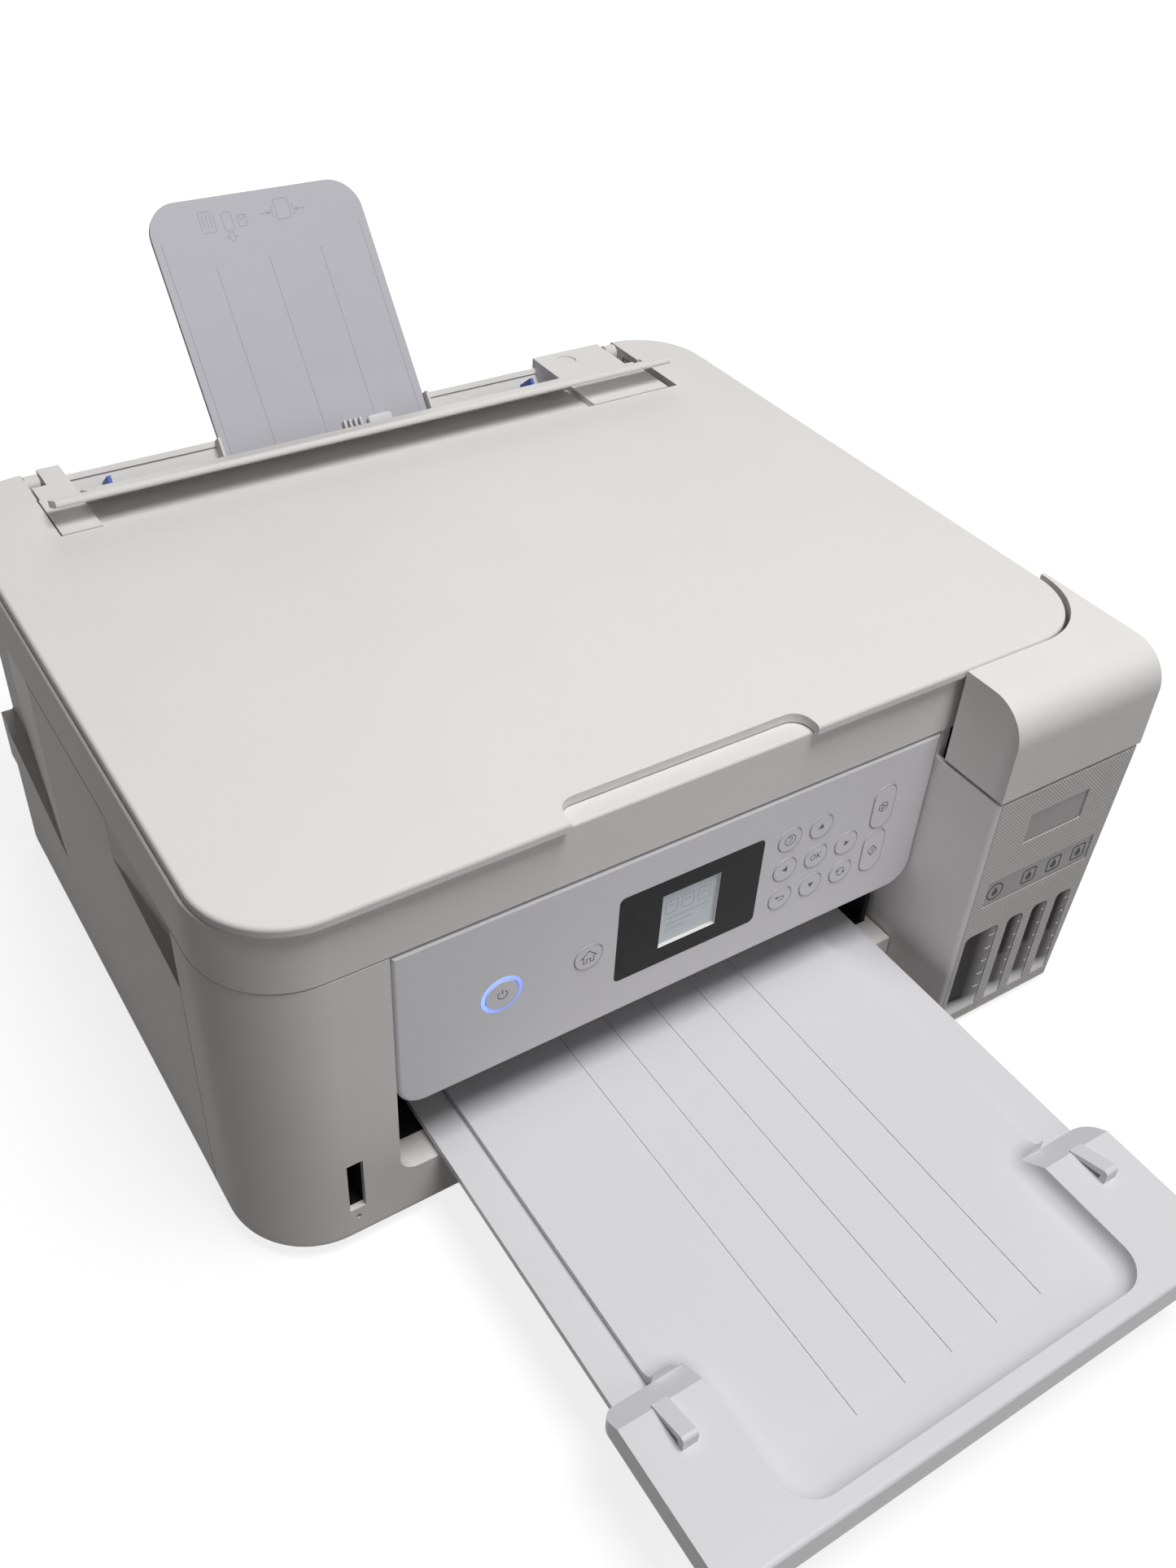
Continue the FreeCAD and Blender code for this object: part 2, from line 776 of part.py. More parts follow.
def make_tank_housing():
    body = new_body("tank_housing")
    wedge = body.newObject("PartDesign::AdditiveWedge", "tank_housing_wedge")
    wedge.Placement = turned((1, 0, 0))
    back = "front_split - split_gap"
    for prop, text in (("Xmin", "tank_left"), ("X2min", "tank_left"), ("Xmax", f"{HALF} - tank_taper"),
                       ("X2max", HALF), ("Ymin", LOW), ("Ymax", "tank_level"),
                       ("Zmin", f"-({back})"), ("Z2min", f"-({back})"),
                       ("Zmax", "-tank_face"), ("Z2max", "-tank_face")):
        bind(wedge, prop, text)
    doc.recompute()
    whole = tight_box(wedge.Shape)
    upright = [f"Edge{i}" for i, edge in enumerate(wedge.Shape.Edges, start=1)
               if lies_on(tight_box(edge), whole, "front") and tight_box(edge).ZLength > whole.ZLength / 2]
    soften(body, upright, "tank_edge_radius")
    hollow(body, "tank_wall", "top", "back")
    through = ("tank_face - 1", "tank_face + tank_wall + 1")
    for index in range(len(TANKS)):
        well(body, window_span(index), through, ("window_low", "window_high"), "window_radius", "left top",
             "right top")
    block(body, ("plate_left", "plate_left + plate_width"), ("tank_face - 1", "tank_face + plate_depth"),
          ("plate_low", "plate_low + plate_height"), cut=True)
    block(body, ("strip_left", "strip_left + strip_width"), ("tank_face - 1", "tank_face + strip_depth"),
          ("strip_low", "strip_low + strip_height"), cut=True)
    # Post that carries the right pin of the control panel
    block(body, ("tank_left", "tank_left + panel_post"), ("front_face + 1", "front_face + panel_depth"),
          ("tank_level - 2", HIGH))
    panel_pin(body, ("tank_left - 1", "tank_left + panel_post + 1"), "panel_pin_fit", cut=True)
    # Lugs and pins of the tank lid
    for start in lid_lugs():
        end = f"{start} + lid_lug_length"
        axis = f"{HALF} - lid_pin_inset"
        block(body, (f"{axis} - lid_lug_half * 2", f"{axis} + lid_pin_inset - lid_wall - lid_lug_gap"),
              (start, end),
              ("tank_level - lid_lug_half * 2", "lid_pin_level + lid_lug_half"))
        block(body, (f"{axis} - lid_lug_half * 2", f"{HALF} - tank_wall / 2"), (start, end),
              ("tank_level - lid_lug_half * 2", "tank_level"))
        rod(body, "y", "lid_pin_radius", (f"{end} - 1", f"{end} + lid_lug_gap + lid_lug_length"), axis,
            "lid_pin_level")
    return body


def lid_lugs():
    return "lid_lug_start", "lid_lug_start + lid_lug_pitch"


def make_tank_lid():
    body = new_body("tank_lid")
    back = "cover_front - lid_corner_gap"
    block(body, ("tank_left", HALF), ("tank_face", "lid_back"), (LID_LOW, "lid_top"))
    soften(body, edges_on(body, "front top"), "lid_bullnose")
    # The scanner's rounded corner, taken out of the back
    corner_right = "scanner_right + lid_corner_gap"
    well(body, ("tank_left - 1", corner_right), (back, "lid_back + 1"), (f"{LID_LOW} - 1", "lid_top + 1"),
         "scanner_radius + lid_corner_gap", "right front")
    # Hollow inside, under the rounded front and under the flat top
    across = ("tank_left + lid_wall", f"{HALF} - lid_wall")
    block(body, across, ("tank_face + lid_wall", "tank_face + lid_bullnose"),
          (f"{LID_LOW} - 1", "lid_top - lid_bullnose"), cut=True)
    block(body, across, ("tank_face + lid_bullnose - lid_wall / 2", f"{back} - lid_wall"),
          (f"{LID_LOW} - 1", "lid_top - lid_wall"), cut=True)
    # Knuckles, and the notches that clear the lugs
    axis = f"{HALF} - lid_pin_inset"
    for start in lid_lugs():
        knuckle = f"{start} + lid_lug_length + lid_lug_gap"
        block(body, (f"{axis} - lid_lug_half", f"{HALF} - lid_wall / 2"),
              (knuckle, f"{knuckle} + lid_lug_length"),
              ("lid_pin_level - lid_lug_half", "lid_pin_level + lid_lug_half"))
        rod(body, "y", "lid_pin_radius + lid_pin_fit", (f"{knuckle} - 1", f"{knuckle} + lid_lug_length + 1"),
            axis,
            "lid_pin_level", cut=True)
        block(body, (f"{HALF} - lid_wall - 1", f"{HALF} + 1"), (f"{start} - lid_lug_gap", knuckle),
              (f"{LID_LOW} - 1", f"{LID_LOW} + lid_notch_height"), cut=True)
    return body


CAP_PLACE = "tank_face + neck_setback + cap_reach"
CAP_LEVEL = "neck_top + cap_seat + cap_thickness / 2"


def make_ink_tanks():
    body = new_body("ink_tanks")
    for index in range(len(TANKS)):
        left, right = window_span(index)
        middle = window_middle(index)
        block(body, (f"{left} - tank_flank", f"{right} + tank_flank"),
              ("tank_face + tank_wall + tank_play", "tank_back"), (f"{LOW} + tank_wall", "tank_top"))
        rod(body, "z", "neck_radius", ("tank_top - 1", "neck_top"), middle, "tank_face + neck_setback")
        reach = "cap_barrel_half + cap_side_gap"
        for near, far in ((f"-({reach}) - cap_post", f"-({reach})"), (reach, f"{reach} + cap_post")):
            block(body, (f"{middle} + {near}", f"{middle} + {far}"),
                  (f"{CAP_PLACE} - cap_post_half", f"{CAP_PLACE} + cap_post_half"),
                  ("tank_top - 1", f"{CAP_LEVEL} + cap_post_half"))
        rod(body, "x", "cap_pin_radius",
            (f"{middle} - {reach} - cap_post / 2", f"{middle} + {reach} + cap_post / 2"),
            CAP_PLACE, CAP_LEVEL)
    return body


def make_tank_cap(index):
    body = new_body("tank_cap_" + TANKS[index])
    middle = window_middle(index)
    level = ("neck_top + cap_seat", "neck_top + cap_seat + cap_thickness")
    block(body, (f"{middle} - cap_width / 2", f"{middle} + cap_width / 2"),
          ("tank_face + cap_front", f"{CAP_PLACE} - cap_barrel - cap_side_gap * 2"), level)
    soften(body, edges_on(body, "left front", "right front"), "cap_width / 4")
    block(body, (f"{middle} - cap_barrel_half", f"{middle} + cap_barrel_half"),
          (f"{CAP_PLACE} - cap_barrel - 1", CAP_PLACE), level)
    rod(body, "x", "cap_barrel", (f"{middle} - cap_barrel_half", f"{middle} + cap_barrel_half"), CAP_PLACE,
        CAP_LEVEL)
    rod(body, "x", "cap_pin_radius + cap_fit",
        (f"{middle} - cap_barrel_half - 1", f"{middle} + cap_barrel_half + 1"),
        CAP_PLACE, CAP_LEVEL, cut=True)
    return body


# Scanner unit

def cut_bay(body, low, high):
    """The bay at the back of the scanner unit that leaves room for the feeder."""
    block(body, ("bay_left", "bay_right"), ("bay_front", "bay_waist"), (low, high), cut=True)
    block(body, ("bay_waist_left", "bay_waist_right"), ("bay_waist - 1", "rear_face + 1"), (low, high),
          cut=True)


CORNERS = ("left front", "right front", "left back", "right back")


def make_scanner_housing():
    body = new_body("scanner_housing")
    block(body, (f"-({HALF})", "scanner_right"), ("front_face", "rear_face"), ("seam_level", "scanner_top"))
    soften(body, edges_on(body, *CORNERS), "scanner_radius")
    soften(body, edges_on(body, "top"), "rim_radius")
    cut_bay(body, "seam_level - 1", "scanner_top + 1")
    for x in ((f"-({HALF}) - 1", "bay_waist_left + 1"), ("bay_waist_right - 1", "scanner_right + 1")):
        block(body, x, ("hinge_place - wing_relief_length", "rear_face + 1"),
              ("scanner_top - wing_relief", "scanner_top + 1"), cut=True)
    # Lugs for the two hinge pins
    for x in (hinge_lug("bay_waist_left", ""), hinge_lug("bay_waist_right", "-")):
        block(body, x["root"], ("hinge_place - hinge_lug_radius", "hinge_place + hinge_lug_radius"),
              ("scanner_top - wing_relief - hinge_root_height", "scanner_top - wing_relief"))
        block(body, x["lug"], ("hinge_place - hinge_lug_radius", "hinge_place + hinge_lug_radius"),
              ("scanner_top - wing_relief - 1", "hinge_level"))
        rod(body, "x", "hinge_lug_radius", x["lug"], "hinge_place", "hinge_level")
        rod(body, "x", "hinge_pin_radius + hinge_fit", x["bore"], "hinge_place", "hinge_level", cut=True)
    # Scan bed, its rail, and the ledge that holds the glass
    block(body, ("bed_left", "bed_right"), ("bed_front", "bed_back"),
          ("seam_level + scanner_floor", "scanner_top + 1"), cut=True)
    block(body, ("bed_left - glass_ledge", "bed_right + glass_ledge"),
          ("bed_front - glass_ledge", "bed_back + glass_ledge"),
          ("scanner_top - glass_thickness", "scanner_top + 1"), cut=True)
    block(body, ("bed_left - 1", "bed_right + 1"),
          ("scan_rail_place - scan_rail_width / 2", "scan_rail_place + scan_rail_width / 2"),
          ("seam_level + 1", "seam_level + scanner_floor + scan_rail_height"))
    return body


def hinge_lug(edge, sign):
    """Spans along x of a scanner lug beside one edge of the bay, sign being empty on the left."""
    if sign == "":
        inner = f"{edge} + hinge_clearance"
        return {"root": (f"{edge} - 2", f"{inner} + hinge_lug_width"),
                "lug": (inner, f"{inner} + hinge_lug_width"),
                "bore": (f"{inner} - 1", f"{inner} + hinge_lug_width + 1")}
    inner = f"{edge} - hinge_clearance"
    return {"root": (f"{inner} - hinge_lug_width", f"{edge} + 2"),
            "lug": (f"{inner} - hinge_lug_width", inner),
            "bore": (f"{inner} - hinge_lug_width - 1", f"{inner} + 1")}


def make_scanner_glass():
    body = new_body("scanner_glass")
    reach = "glass_ledge - glass_play"
    block(body, (f"bed_left - ({reach})", f"bed_right + {reach}"),
          (f"bed_front - ({reach})", f"bed_back + {reach}"),
          ("scanner_top - glass_thickness", "scanner_top - glass_play"))
    return body


def make_scan_bar():
    body = new_body("scan_bar")
    floor = "seam_level + scanner_floor + scan_rail_fit"
    left = "bed_left + scan_bar_play"
    block(body, (left, f"{left} + scan_bar_width"),
          ("bed_front + scan_bar_play", "bed_back - scan_bar_play"),
          (floor, "scanner_top - glass_thickness - scan_bar_play"))
    block(body, (f"{left} - 1", f"{left} + scan_bar_width + 1"),
          ("scan_rail_place - scan_rail_width / 2 - scan_rail_fit",
           "scan_rail_place + scan_rail_width / 2 + scan_rail_fit"),
          (f"{floor} - 1", "seam_level + scanner_floor + scan_rail_height + scan_rail_fit"), cut=True)
    return body


def make_document_cover():
    body = new_body("document_cover")
    front_of_wings = "hinge_place - wing_length"
    across = (f"-({HALF}) + cover_inset", "scanner_right - cover_inset")
    block(body, across, ("cover_front", "rear_face - cover_inset"), ("wing_low", "cover_top"))
    soften(body, edges_on(body, *CORNERS), "scanner_radius")
    soften(body, edges_on(body, "top"), "cover_edge_radius")
    cut_bay(body, "wing_low - 1", "cover_top + 1")
    # A thin plate, which is thicker only round the hinge pins
    block(body, (f"-({HALF})", "scanner_right"), ("cover_front - 1", front_of_wings),
          ("wing_low - 1", COVER_LOW),
          cut=True)
    block(body, ("notch_left", "notch_right"), ("cover_front - 1", "cover_front + notch_depth"),
          (f"{COVER_LOW} - 1", "cover_top + 1"), cut=True)
    back = size("cover_front") + size("notch_depth")
    ends = edges_near(body, "z", [(size("notch_left"), back), (size("notch_right"), back)])
    soften(body, ends, "notch_radius")
    block(body, ("bed_left - pad_border", "bed_right + pad_border"),
          ("bed_front - pad_border", "bed_back + pad_border"),
          (f"{COVER_LOW} - 1", f"{COVER_LOW} + pad_thickness"), cut=True)
    for span in (("bay_waist_left - hinge_grip", "bay_waist_left + 1"),
                 ("bay_waist_right - 1", "bay_waist_right + hinge_grip")):
        rod(body, "x", "hinge_pin_radius + hinge_fit", span, "hinge_place", "hinge_level", cut=True)
    return body


def make_document_pad():
    body = new_body("document_pad")
    reach = "pad_border - glass_play"
    block(body, (f"bed_left - ({reach})", f"bed_right + {reach}"),
          (f"bed_front - ({reach})", f"bed_back + {reach}"),
          (COVER_LOW, f"{COVER_LOW} + pad_thickness"))
    return body


# Rear feeder. Its slope has a frame of its own: t runs behind the slope, s runs up along it.

def sloped(body, x, t, s, cut=False):
    piece = block(body, x, t, s, cut)
    piece.Placement = turned((1, 0, 0), -1)
    bind(piece, "Placement.Rotation.Angle", "-feed_lean")
    place(piece, x[0], f"feed_top_place + ({t[0]}) * cos(feed_lean) + ({s[0]}) * sin(feed_lean)",
          f"feed_top_level - ({t[0]}) * sin(feed_lean) + ({s[0]}) * cos(feed_lean)")
    return piece


SLOPE_FACE = "support_thickness + support_play"


def make_feeder_frame():
    body = new_body("feeder_frame")
    front = "bay_front + bay_gap"
    back = "rear_face - split_gap"
    deck_end = "bay_waist - bay_gap"
    left, right = "bay_left + bay_gap", "bay_waist_right - right_end_gap"
    block(body, (left, right), (front, "deck_back"), ("deck_level - deck_thickness", "deck_level"))
    block(body, (left, right), (front, f"{front} + deck_thickness"), ("block_low", "deck_level"))
    for inner, outer in (("slope_left - cheek_thickness", "slope_left"),
                         ("slope_right", "slope_right + cheek_thickness")):
        block(body, (inner, outer), (front, "rear_face - case_wall - pan_clearance"),
              ("cheek_low", "deck_level"))
    # End blocks, the outer part of the left one clear of the scanner's lug
    lug_front = "hinge_place - hinge_sweep"
    lug_right = "bay_waist_left + hinge_clearance + hinge_lug_width + hinge_block_gap"
    left_block = "bay_left + left_block_gap"
    right_block = "bay_waist_right - right_block_gap"
    level = ("block_low", "block_level")
    block(body, (left, "slope_left"), (front, deck_end), level)
    block(body, ("slope_right", right), (front, deck_end), level)
    block(body, (left_block, "slope_left"), (f"{deck_end} - 1", lug_front), level)
    block(body, (lug_right, "slope_left"), (f"{deck_end} - 1", back), level)
    block(body, ("slope_right", right_block), (f"{deck_end} - 1", back), level)
    rod(body, "z", "dimple_radius", ("block_level - dimple_depth", "block_level + 1"),
        f"(slope_right + {right_block}) / 2 - dimple_radius", "hinge_place - dimple_radius", cut=True)
    # Pins of the scanner hinge
    rod(body, "x", "hinge_pin_radius", ("bay_waist_left - hinge_grip + hinge_clearance", f"{lug_right} + 1"),
        "hinge_place", "hinge_level")
    rod(body, "x", "hinge_pin_radius",
        (f"{right_block} - 1", "bay_waist_right + hinge_grip - hinge_clearance"),
        "hinge_place", "hinge_level")
    # Slope behind the paper, with a rib and a lip at each side of the support
    sloped(body, ("slope_left - 1", "slope_right + 1"), (SLOPE_FACE, f"{SLOPE_FACE} + slope_thickness"),
           ("-slope_length", "slope_above"))
    near, far = "(support_width / 2 + support_play)", "(support_width / 2 + support_play + rib_thickness)"
    lip = (f"{SLOPE_FACE} - slope_lip_rise", f"{SLOPE_FACE} + 1"), ("slope_above - slope_lip_width",
                                                                    "slope_above")
    for rib in ((f"feed_centre - {far}", f"feed_centre - {near}"),
                (f"feed_centre + {near}", f"feed_centre + {far}")):
        sloped(body, rib, ("-rib_height", f"{SLOPE_FACE} + 1"), ("-slope_length / 2", "slope_above"))
    sloped(body, ("slope_left - 1", f"feed_centre - {near}"), *lip)
    sloped(body, (f"feed_centre + {near}", "slope_right + 1"), *lip)
    for span in (("slope_left - cheek_thickness - 1", "slope_left + 1"),
                 ("slope_right - 1", "slope_right + cheek_thickness + 1")):
        rod(body, "x", "guard_pin + guard_fit", span, "guard_place", "guard_level", cut=True)
    return body


def make_paper_support():
    body = new_body("paper_support")
    body.Placement = turned((1, 0, 0), -1)
    bind(body, "Placement.Rotation.Angle", "-feed_lean")
    place(body, "feed_centre", "feed_top_place + frame_shift", "feed_top_level")
    block(body, ("-support_width / 2", "support_width / 2"), ("0", "support_thickness"),
          ("-support_rooted", "support_height"))
    soften(body, edges_on(body, "left top", "right top"), "support_radius")
    return body


def make_feeder_guard():
    body = new_body("feeder_guard")
    body.Placement = turned((1, 0, 0), -1)
    bind(body, "Placement.Rotation.Angle", "-guard_lean")
    place(body, "0", "guard_place + frame_shift", "guard_level")
    across = ("slope_left + guard_end_gap", "slope_right - guard_end_gap")
    level = ("guard_low", "guard_low + guard_thickness")
    block(body, ("guard_left", "guard_right"), ("-guard_length", "-guard_wing_start"), level)
    soften(body, edges_on(body, "front top", "front bottom"), "guard_thickness / 2.2")
    block(body, across, ("-guard_wing_start - 1", "0"), level)
    rod(body, "x", "guard_barrel", across, "0", "0")
    for span in (("slope_left - cheek_thickness", "slope_left + guard_end_gap + 1"),
                 ("slope_right - guard_end_gap - 1", "slope_right + cheek_thickness")):
        rod(body, "x", "guard_pin", span, "0", "0")
    return body


def make_edge_guide(label, sign):
    body = new_body(label)
    outer = f"feed_centre {sign} (guide_reach + guide_thickness)"
    inner = f"feed_centre {sign} guide_reach"
    toe = f"feed_centre {sign} (guide_reach - guide_foot)"
    wall = (outer, inner) if sign == "-" else (inner, outer)
    foot = (outer, toe) if sign == "-" else (toe, outer)
    length = ("guide_top - guide_length", "guide_top")
    sloped(body, wall, ("-guide_height", SLOPE_FACE + " - support_play"), length)
    sloped(body, foot, (SLOPE_FACE + " - support_play - guide_thickness", SLOPE_FACE + " - support_play"),
           ("guide_top - guide_length", "guide_top - guide_length / 2"))
    return body


# Control panel

def panel_pin(body, span, fit="0", cut=False):
    rod(body, "x", f"panel_pin_radius + {fit}", span, "front_face + panel_pin_setback", "panel_pin_level",
        cut)


PAD = {
    "help_button": (0, 1), "up_button": (1, 1),
    "left_button": (0, 0), "ok_button": (1, 0), "right_button": (2, 0),
    "back_button": (0, -1), "down_button": (1, -1), "rotate_button": (2, -1),
}
ROUND_BUTTONS = {
    "power_button": ("power_place", "key_level", "power_radius"),
    "home_button": ("home_place", "key_level", "home_radius"),
}
for key, (column, line) in PAD.items():
    ROUND_BUTTONS[key] = (f"pad_place + {column} * pad_pitch", f"pad_level + {line} * pad_pitch",
                          "button_radius")
CAPSULES = {"stop_button": ("stop_place", "stop_level"), "start_button": ("start_place", "start_level")}


def capsule(body, x, z, grow, depth, cut=False):
    """An upright capsule in the panel face."""
    straight = "(capsule_height - capsule_width) / 2"
    half = f"capsule_width / 2 + {grow}"
    block(body, (f"{x} - ({half})", f"{x} + {half}"), depth, (f"{z} - {straight}", f"{z} + {straight}"), cut)
    for sign in "-+":
        rod(body, "y", half, depth, x, f"{z} {sign} {straight}", cut)


def make_control_panel():
    body = new_body("control_panel")
    left, right = "column_right + panel_gap", "tank_left - panel_gap"
    back = "front_face + panel_depth"
    block(body, (left, right), ("front_face", back), ("panel_low", "panel_high"))
    soften(body, edges_on(body, "left bottom", "right bottom"), "panel_radius")
    soften(body, edges_on(body, "front"), "panel_bevel")
    block(body, (f"{left} + panel_wall", f"{right} - panel_wall"),
          ("front_face + panel_skin", f"{back} + 1"),
          ("panel_low + panel_floor", "panel_high - panel_wall"), cut=True)
    panel_pin(body, (f"{left} - panel_pin_length", f"{left} + panel_wall"))
    panel_pin(body, (f"{right} - panel_wall", f"{right} + panel_pin_length"))
    hole = ("front_face - 1", "front_face + panel_skin + 1")
    well(body, ("window_pane_left", "window_pane_right"),
         ("front_face - 1", "front_face + window_pane_depth"),
         ("window_pane_low", "window_pane_high"), "window_pane_radius", *PANE_CORNERS)
    for x, z, radius in ROUND_BUTTONS.values():
        rod(body, "y", f"{radius} + button_fit", hole, x, z, cut=True)
    for x, z in CAPSULES.values():
        capsule(body, x, z, "button_fit", hole, cut=True)
    rod(body, "y", "ring_outer", ("front_face - 1", "front_face + ring_depth"), "power_place", "key_level",
        cut=True)
    return body


PANE_CORNERS = ("left top", "right top", "left bottom", "right bottom")
SCREEN_BACK = "front_face + screen_recess + screen_thickness"


def make_lcd_window():
    body = new_body("lcd_window")
    block(body, ("window_pane_left + pane_fit", "window_pane_right - pane_fit"),
          ("front_face", "front_face + window_pane_depth"),
          ("window_pane_low + pane_fit", "window_pane_high - pane_fit"))
    soften(body, edges_on(body, *PANE_CORNERS), "window_pane_radius - pane_fit")
    block(body, ("screen_left", "screen_right"), ("front_face - 1", SCREEN_BACK),
          ("screen_low", "screen_high"),
          cut=True)
    return body


def make_lcd_screen():
    body = new_body("lcd_screen")
    block(body, ("screen_left + pane_fit", "screen_right - pane_fit"),
          ("front_face + screen_recess", SCREEN_BACK), ("screen_low + pane_fit", "screen_high - pane_fit"))
    return body


def make_power_ring():
    body = new_body("power_ring")
    depth = ("front_face", "front_face + ring_depth")
    rod(body, "y", "ring_outer - pane_fit", depth, "power_place", "key_level")
    rod(body, "y", "ring_inner", ("front_face - 1", "front_face + ring_depth + 1"), "power_place",
        "key_level", cut=True)
    return body


FLANGE_FRONT = "front_face + panel_skin + pane_fit"
FLANGE = (FLANGE_FRONT, f"{FLANGE_FRONT} + button_flange_thickness")
STEM = ("front_face - button_proud", f"{FLANGE_FRONT} + button_flange_thickness / 2")


def make_round_button(label, x, z, radius):
    body = new_body(label)
    rod(body, "y", radius, STEM, x, z)
    rod(body, "y", f"{radius} + button_flange", FLANGE, x, z)
    return body


def make_capsule_button(label, x, z):
    body = new_body(label)
    capsule(body, x, z, "0", STEM)
    capsule(body, x, z, "capsule_flange", FLANGE)
    return body


def make_panel_board():
    body = new_body("panel_board")
    front = f"{FLANGE[1]} + button_travel + switch_board_gap"
    left, right = "column_right + panel_gap + panel_wall", "tank_left - panel_gap - panel_wall"
    block(body, (f"{left} + pane_fit", f"{right} - pane_fit"), (front, f"{front} + switch_board"),
          ("panel_low + panel_floor + switch_board_margin",
           "panel_pin_level - panel_pin_radius - switch_board_margin"))
    return body


# Output

def make_output_frame():
    body = new_body("output_frame")
    left, right = "column_right + panel_gap", "tank_left - split_gap - case_wall - pan_clearance"
    block(body, (left, right), ("duct_front", "duct_back"), ("sill_level - duct_wall", "duct_top"))
    block(body, (f"{left} + duct_wall", f"{right} - duct_wall"), ("duct_front - 1", "duct_back + 1"),
          ("sill_level", "duct_top - duct_wall"), cut=True)
    return body


TRAY_TOP = "tray_low + tray_thickness"
EXTENSION_LOW = f"{TRAY_TOP} + tray_play"
EXTENSION_TOP = f"{EXTENSION_LOW} + extension_thickness"
RIM_TOP = f"{EXTENSION_TOP} + rim_height"


def make_output_tray():
    body = new_body("output_tray")
    block(body, ("tray_left", "tray_right"), ("tray_front", "front_face + tray_inside"),
          ("tray_low", TRAY_TOP))
    return body


def ramp(body, x, end):
    """Slope the back end of a corner stop."""
    cutter = body.newObject("PartDesign::SubtractiveWedge", "tray_extension_ramp")
    for prop, text in (("Xmin", x[0]), ("X2min", x[0]), ("Xmax", x[1]), ("X2max", x[1]),
                       ("Ymin", f"{end} - stop_ramp"), ("Ymax", f"{end} + 0.01"),
                       ("Zmin", RIM_TOP), ("Z2min", f"{EXTENSION_TOP} + stop_ramp_end"),
                       ("Zmax", f"{RIM_TOP} + 1"), ("Z2max", f"{RIM_TOP} + 1")):
        bind(cutter, prop, text)


def make_tray_extension():
    body = new_body("tray_extension")
    lip_back = "extension_front + rim_depth"
    stop_back = "extension_front + stop_length"
    plate_back = "front_face + tray_inside"
    left_stop, right_stop = "lip_left + stop_width", "lip_right - stop_width"
    inner_left = size("lip_left") + size("stop_width")
    inner_right = size("lip_right") - size("stop_width")
    stop_end = size("extension_front") + size("stop_length")
    stop_corners = [(inner_left, stop_end), (inner_right, stop_end)]
    block(body, ("lip_left", "lip_right"), ("extension_front", lip_back), ("tray_low", RIM_TOP))
    soften(body, edges_on(body, "front left", "front right", "front top"), "rim_depth / 4")
    for x in (("lip_left", left_stop), (right_stop, "lip_right")):
        block(body, x, (f"{lip_back} - 1", stop_back), (EXTENSION_LOW, RIM_TOP))
    soften(body, edges_on(body, "back left", "back right") + edges_near(body, "z", stop_corners), "stop_corner")
    block(body, ("extension_left", "extension_right"), (f"{lip_back} - 1", plate_back),
          (EXTENSION_LOW, EXTENSION_TOP))
    level = sum(size(name) for name in ("tray_low", "tray_thickness", "tray_play", "extension_thickness"))
    lip = size("extension_front") + size("rim_depth")
    soften(body, edges_near(body, "z", [(inner_left, lip), (inner_right, lip)]), "rim_corner")
    floor_edges = edges_near(body, "y", [(inner_left, level), (inner_right, level)])
    soften(body, floor_edges + edges_near(body, "x", [(lip, level)]), "rim_blend")
    ramp(body, ("lip_left - 1", f"{left_stop} + rim_blend"), stop_back)
    ramp(body, (f"{right_stop} - rim_blend", "lip_right + 1"), stop_back)
    for step in range(-2, 3):
        x = f"groove_middle + {step} * groove_pitch"
        block(body, (f"{x} - groove_width / 2", f"{x} + groove_width / 2"),
              ("groove_end", f"{plate_back} + 1"),
              (f"{EXTENSION_TOP} - groove_depth", f"{EXTENSION_TOP} + 1"), cut=True)
    hook(body, "lip_left + stop_width / 2", f"{stop_back} - hook_setback")
    hook(body, "lip_right - stop_width / 2", f"{stop_back} - hook_setback")
    soften(body, edges_on(body, "top"), "hook_round")
    return body


def hook(body, middle, back):
    """A bent tab on a corner stop: it rises towards the front, and a leg carries its end."""
    tusk = body.newObject("PartDesign::AdditiveWedge", "tray_extension_hook")
    left, right = f"{middle} - hook_width / 2", f"{middle} + hook_width / 2"
    tip = f"{RIM_TOP} + hook_height"
    for prop, text in (("Xmin", left), ("X2min", left), ("Xmax", right), ("X2max", right),
                       ("Ymin", f"{back} - hook_length"), ("Ymax", back),
                       ("Zmin", f"{tip} - hook_thickness"), ("Zmax", tip),
                       ("Z2min", f"{RIM_TOP} - 1"), ("Z2max", f"{RIM_TOP} + 0.4")):
        bind(tusk, prop, text)
    front = f"{back} - hook_length"
    block(body, (left, right), (front, f"{front} + hook_leg"), (f"{RIM_TOP} - 1", f"{tip} - hook_thickness / 2"))


# Print mechanism

FRAME_OUTER = f"({HALF} - frame_clearance)"
FRAME_INNER = f"({FRAME_OUTER} - frame_thickness)"
CARRIAGE_LEFT = f"({FRAME_INNER} - carriage_park - carriage_width)"
STATION_LEFT = f"({FRAME_INNER} - station_park - station_width)"
PLATEN_RIGHT = f"({STATION_LEFT} - platen_gap)"
FEED_LEVEL = "paper_level - feed_radius"
EJECT_LEVEL = "paper_level - eject_radius"
PICKUP_GAP = "pickup_radius + roller_clearance"
PICKUP_PLACE = ("feed_top_place - (feed_top_level - pickup_height) * tan(feed_lean)"
                f" - ({PICKUP_GAP}) / cos(feed_lean)")
BELT_MIDDLE = "(belt_low + belt_high) / 2"
BELT_BACK = "belt_front + belt_width"
PULLEY = "(belt_high - belt_low) / 2 - belt_thickness - pulley_gap"


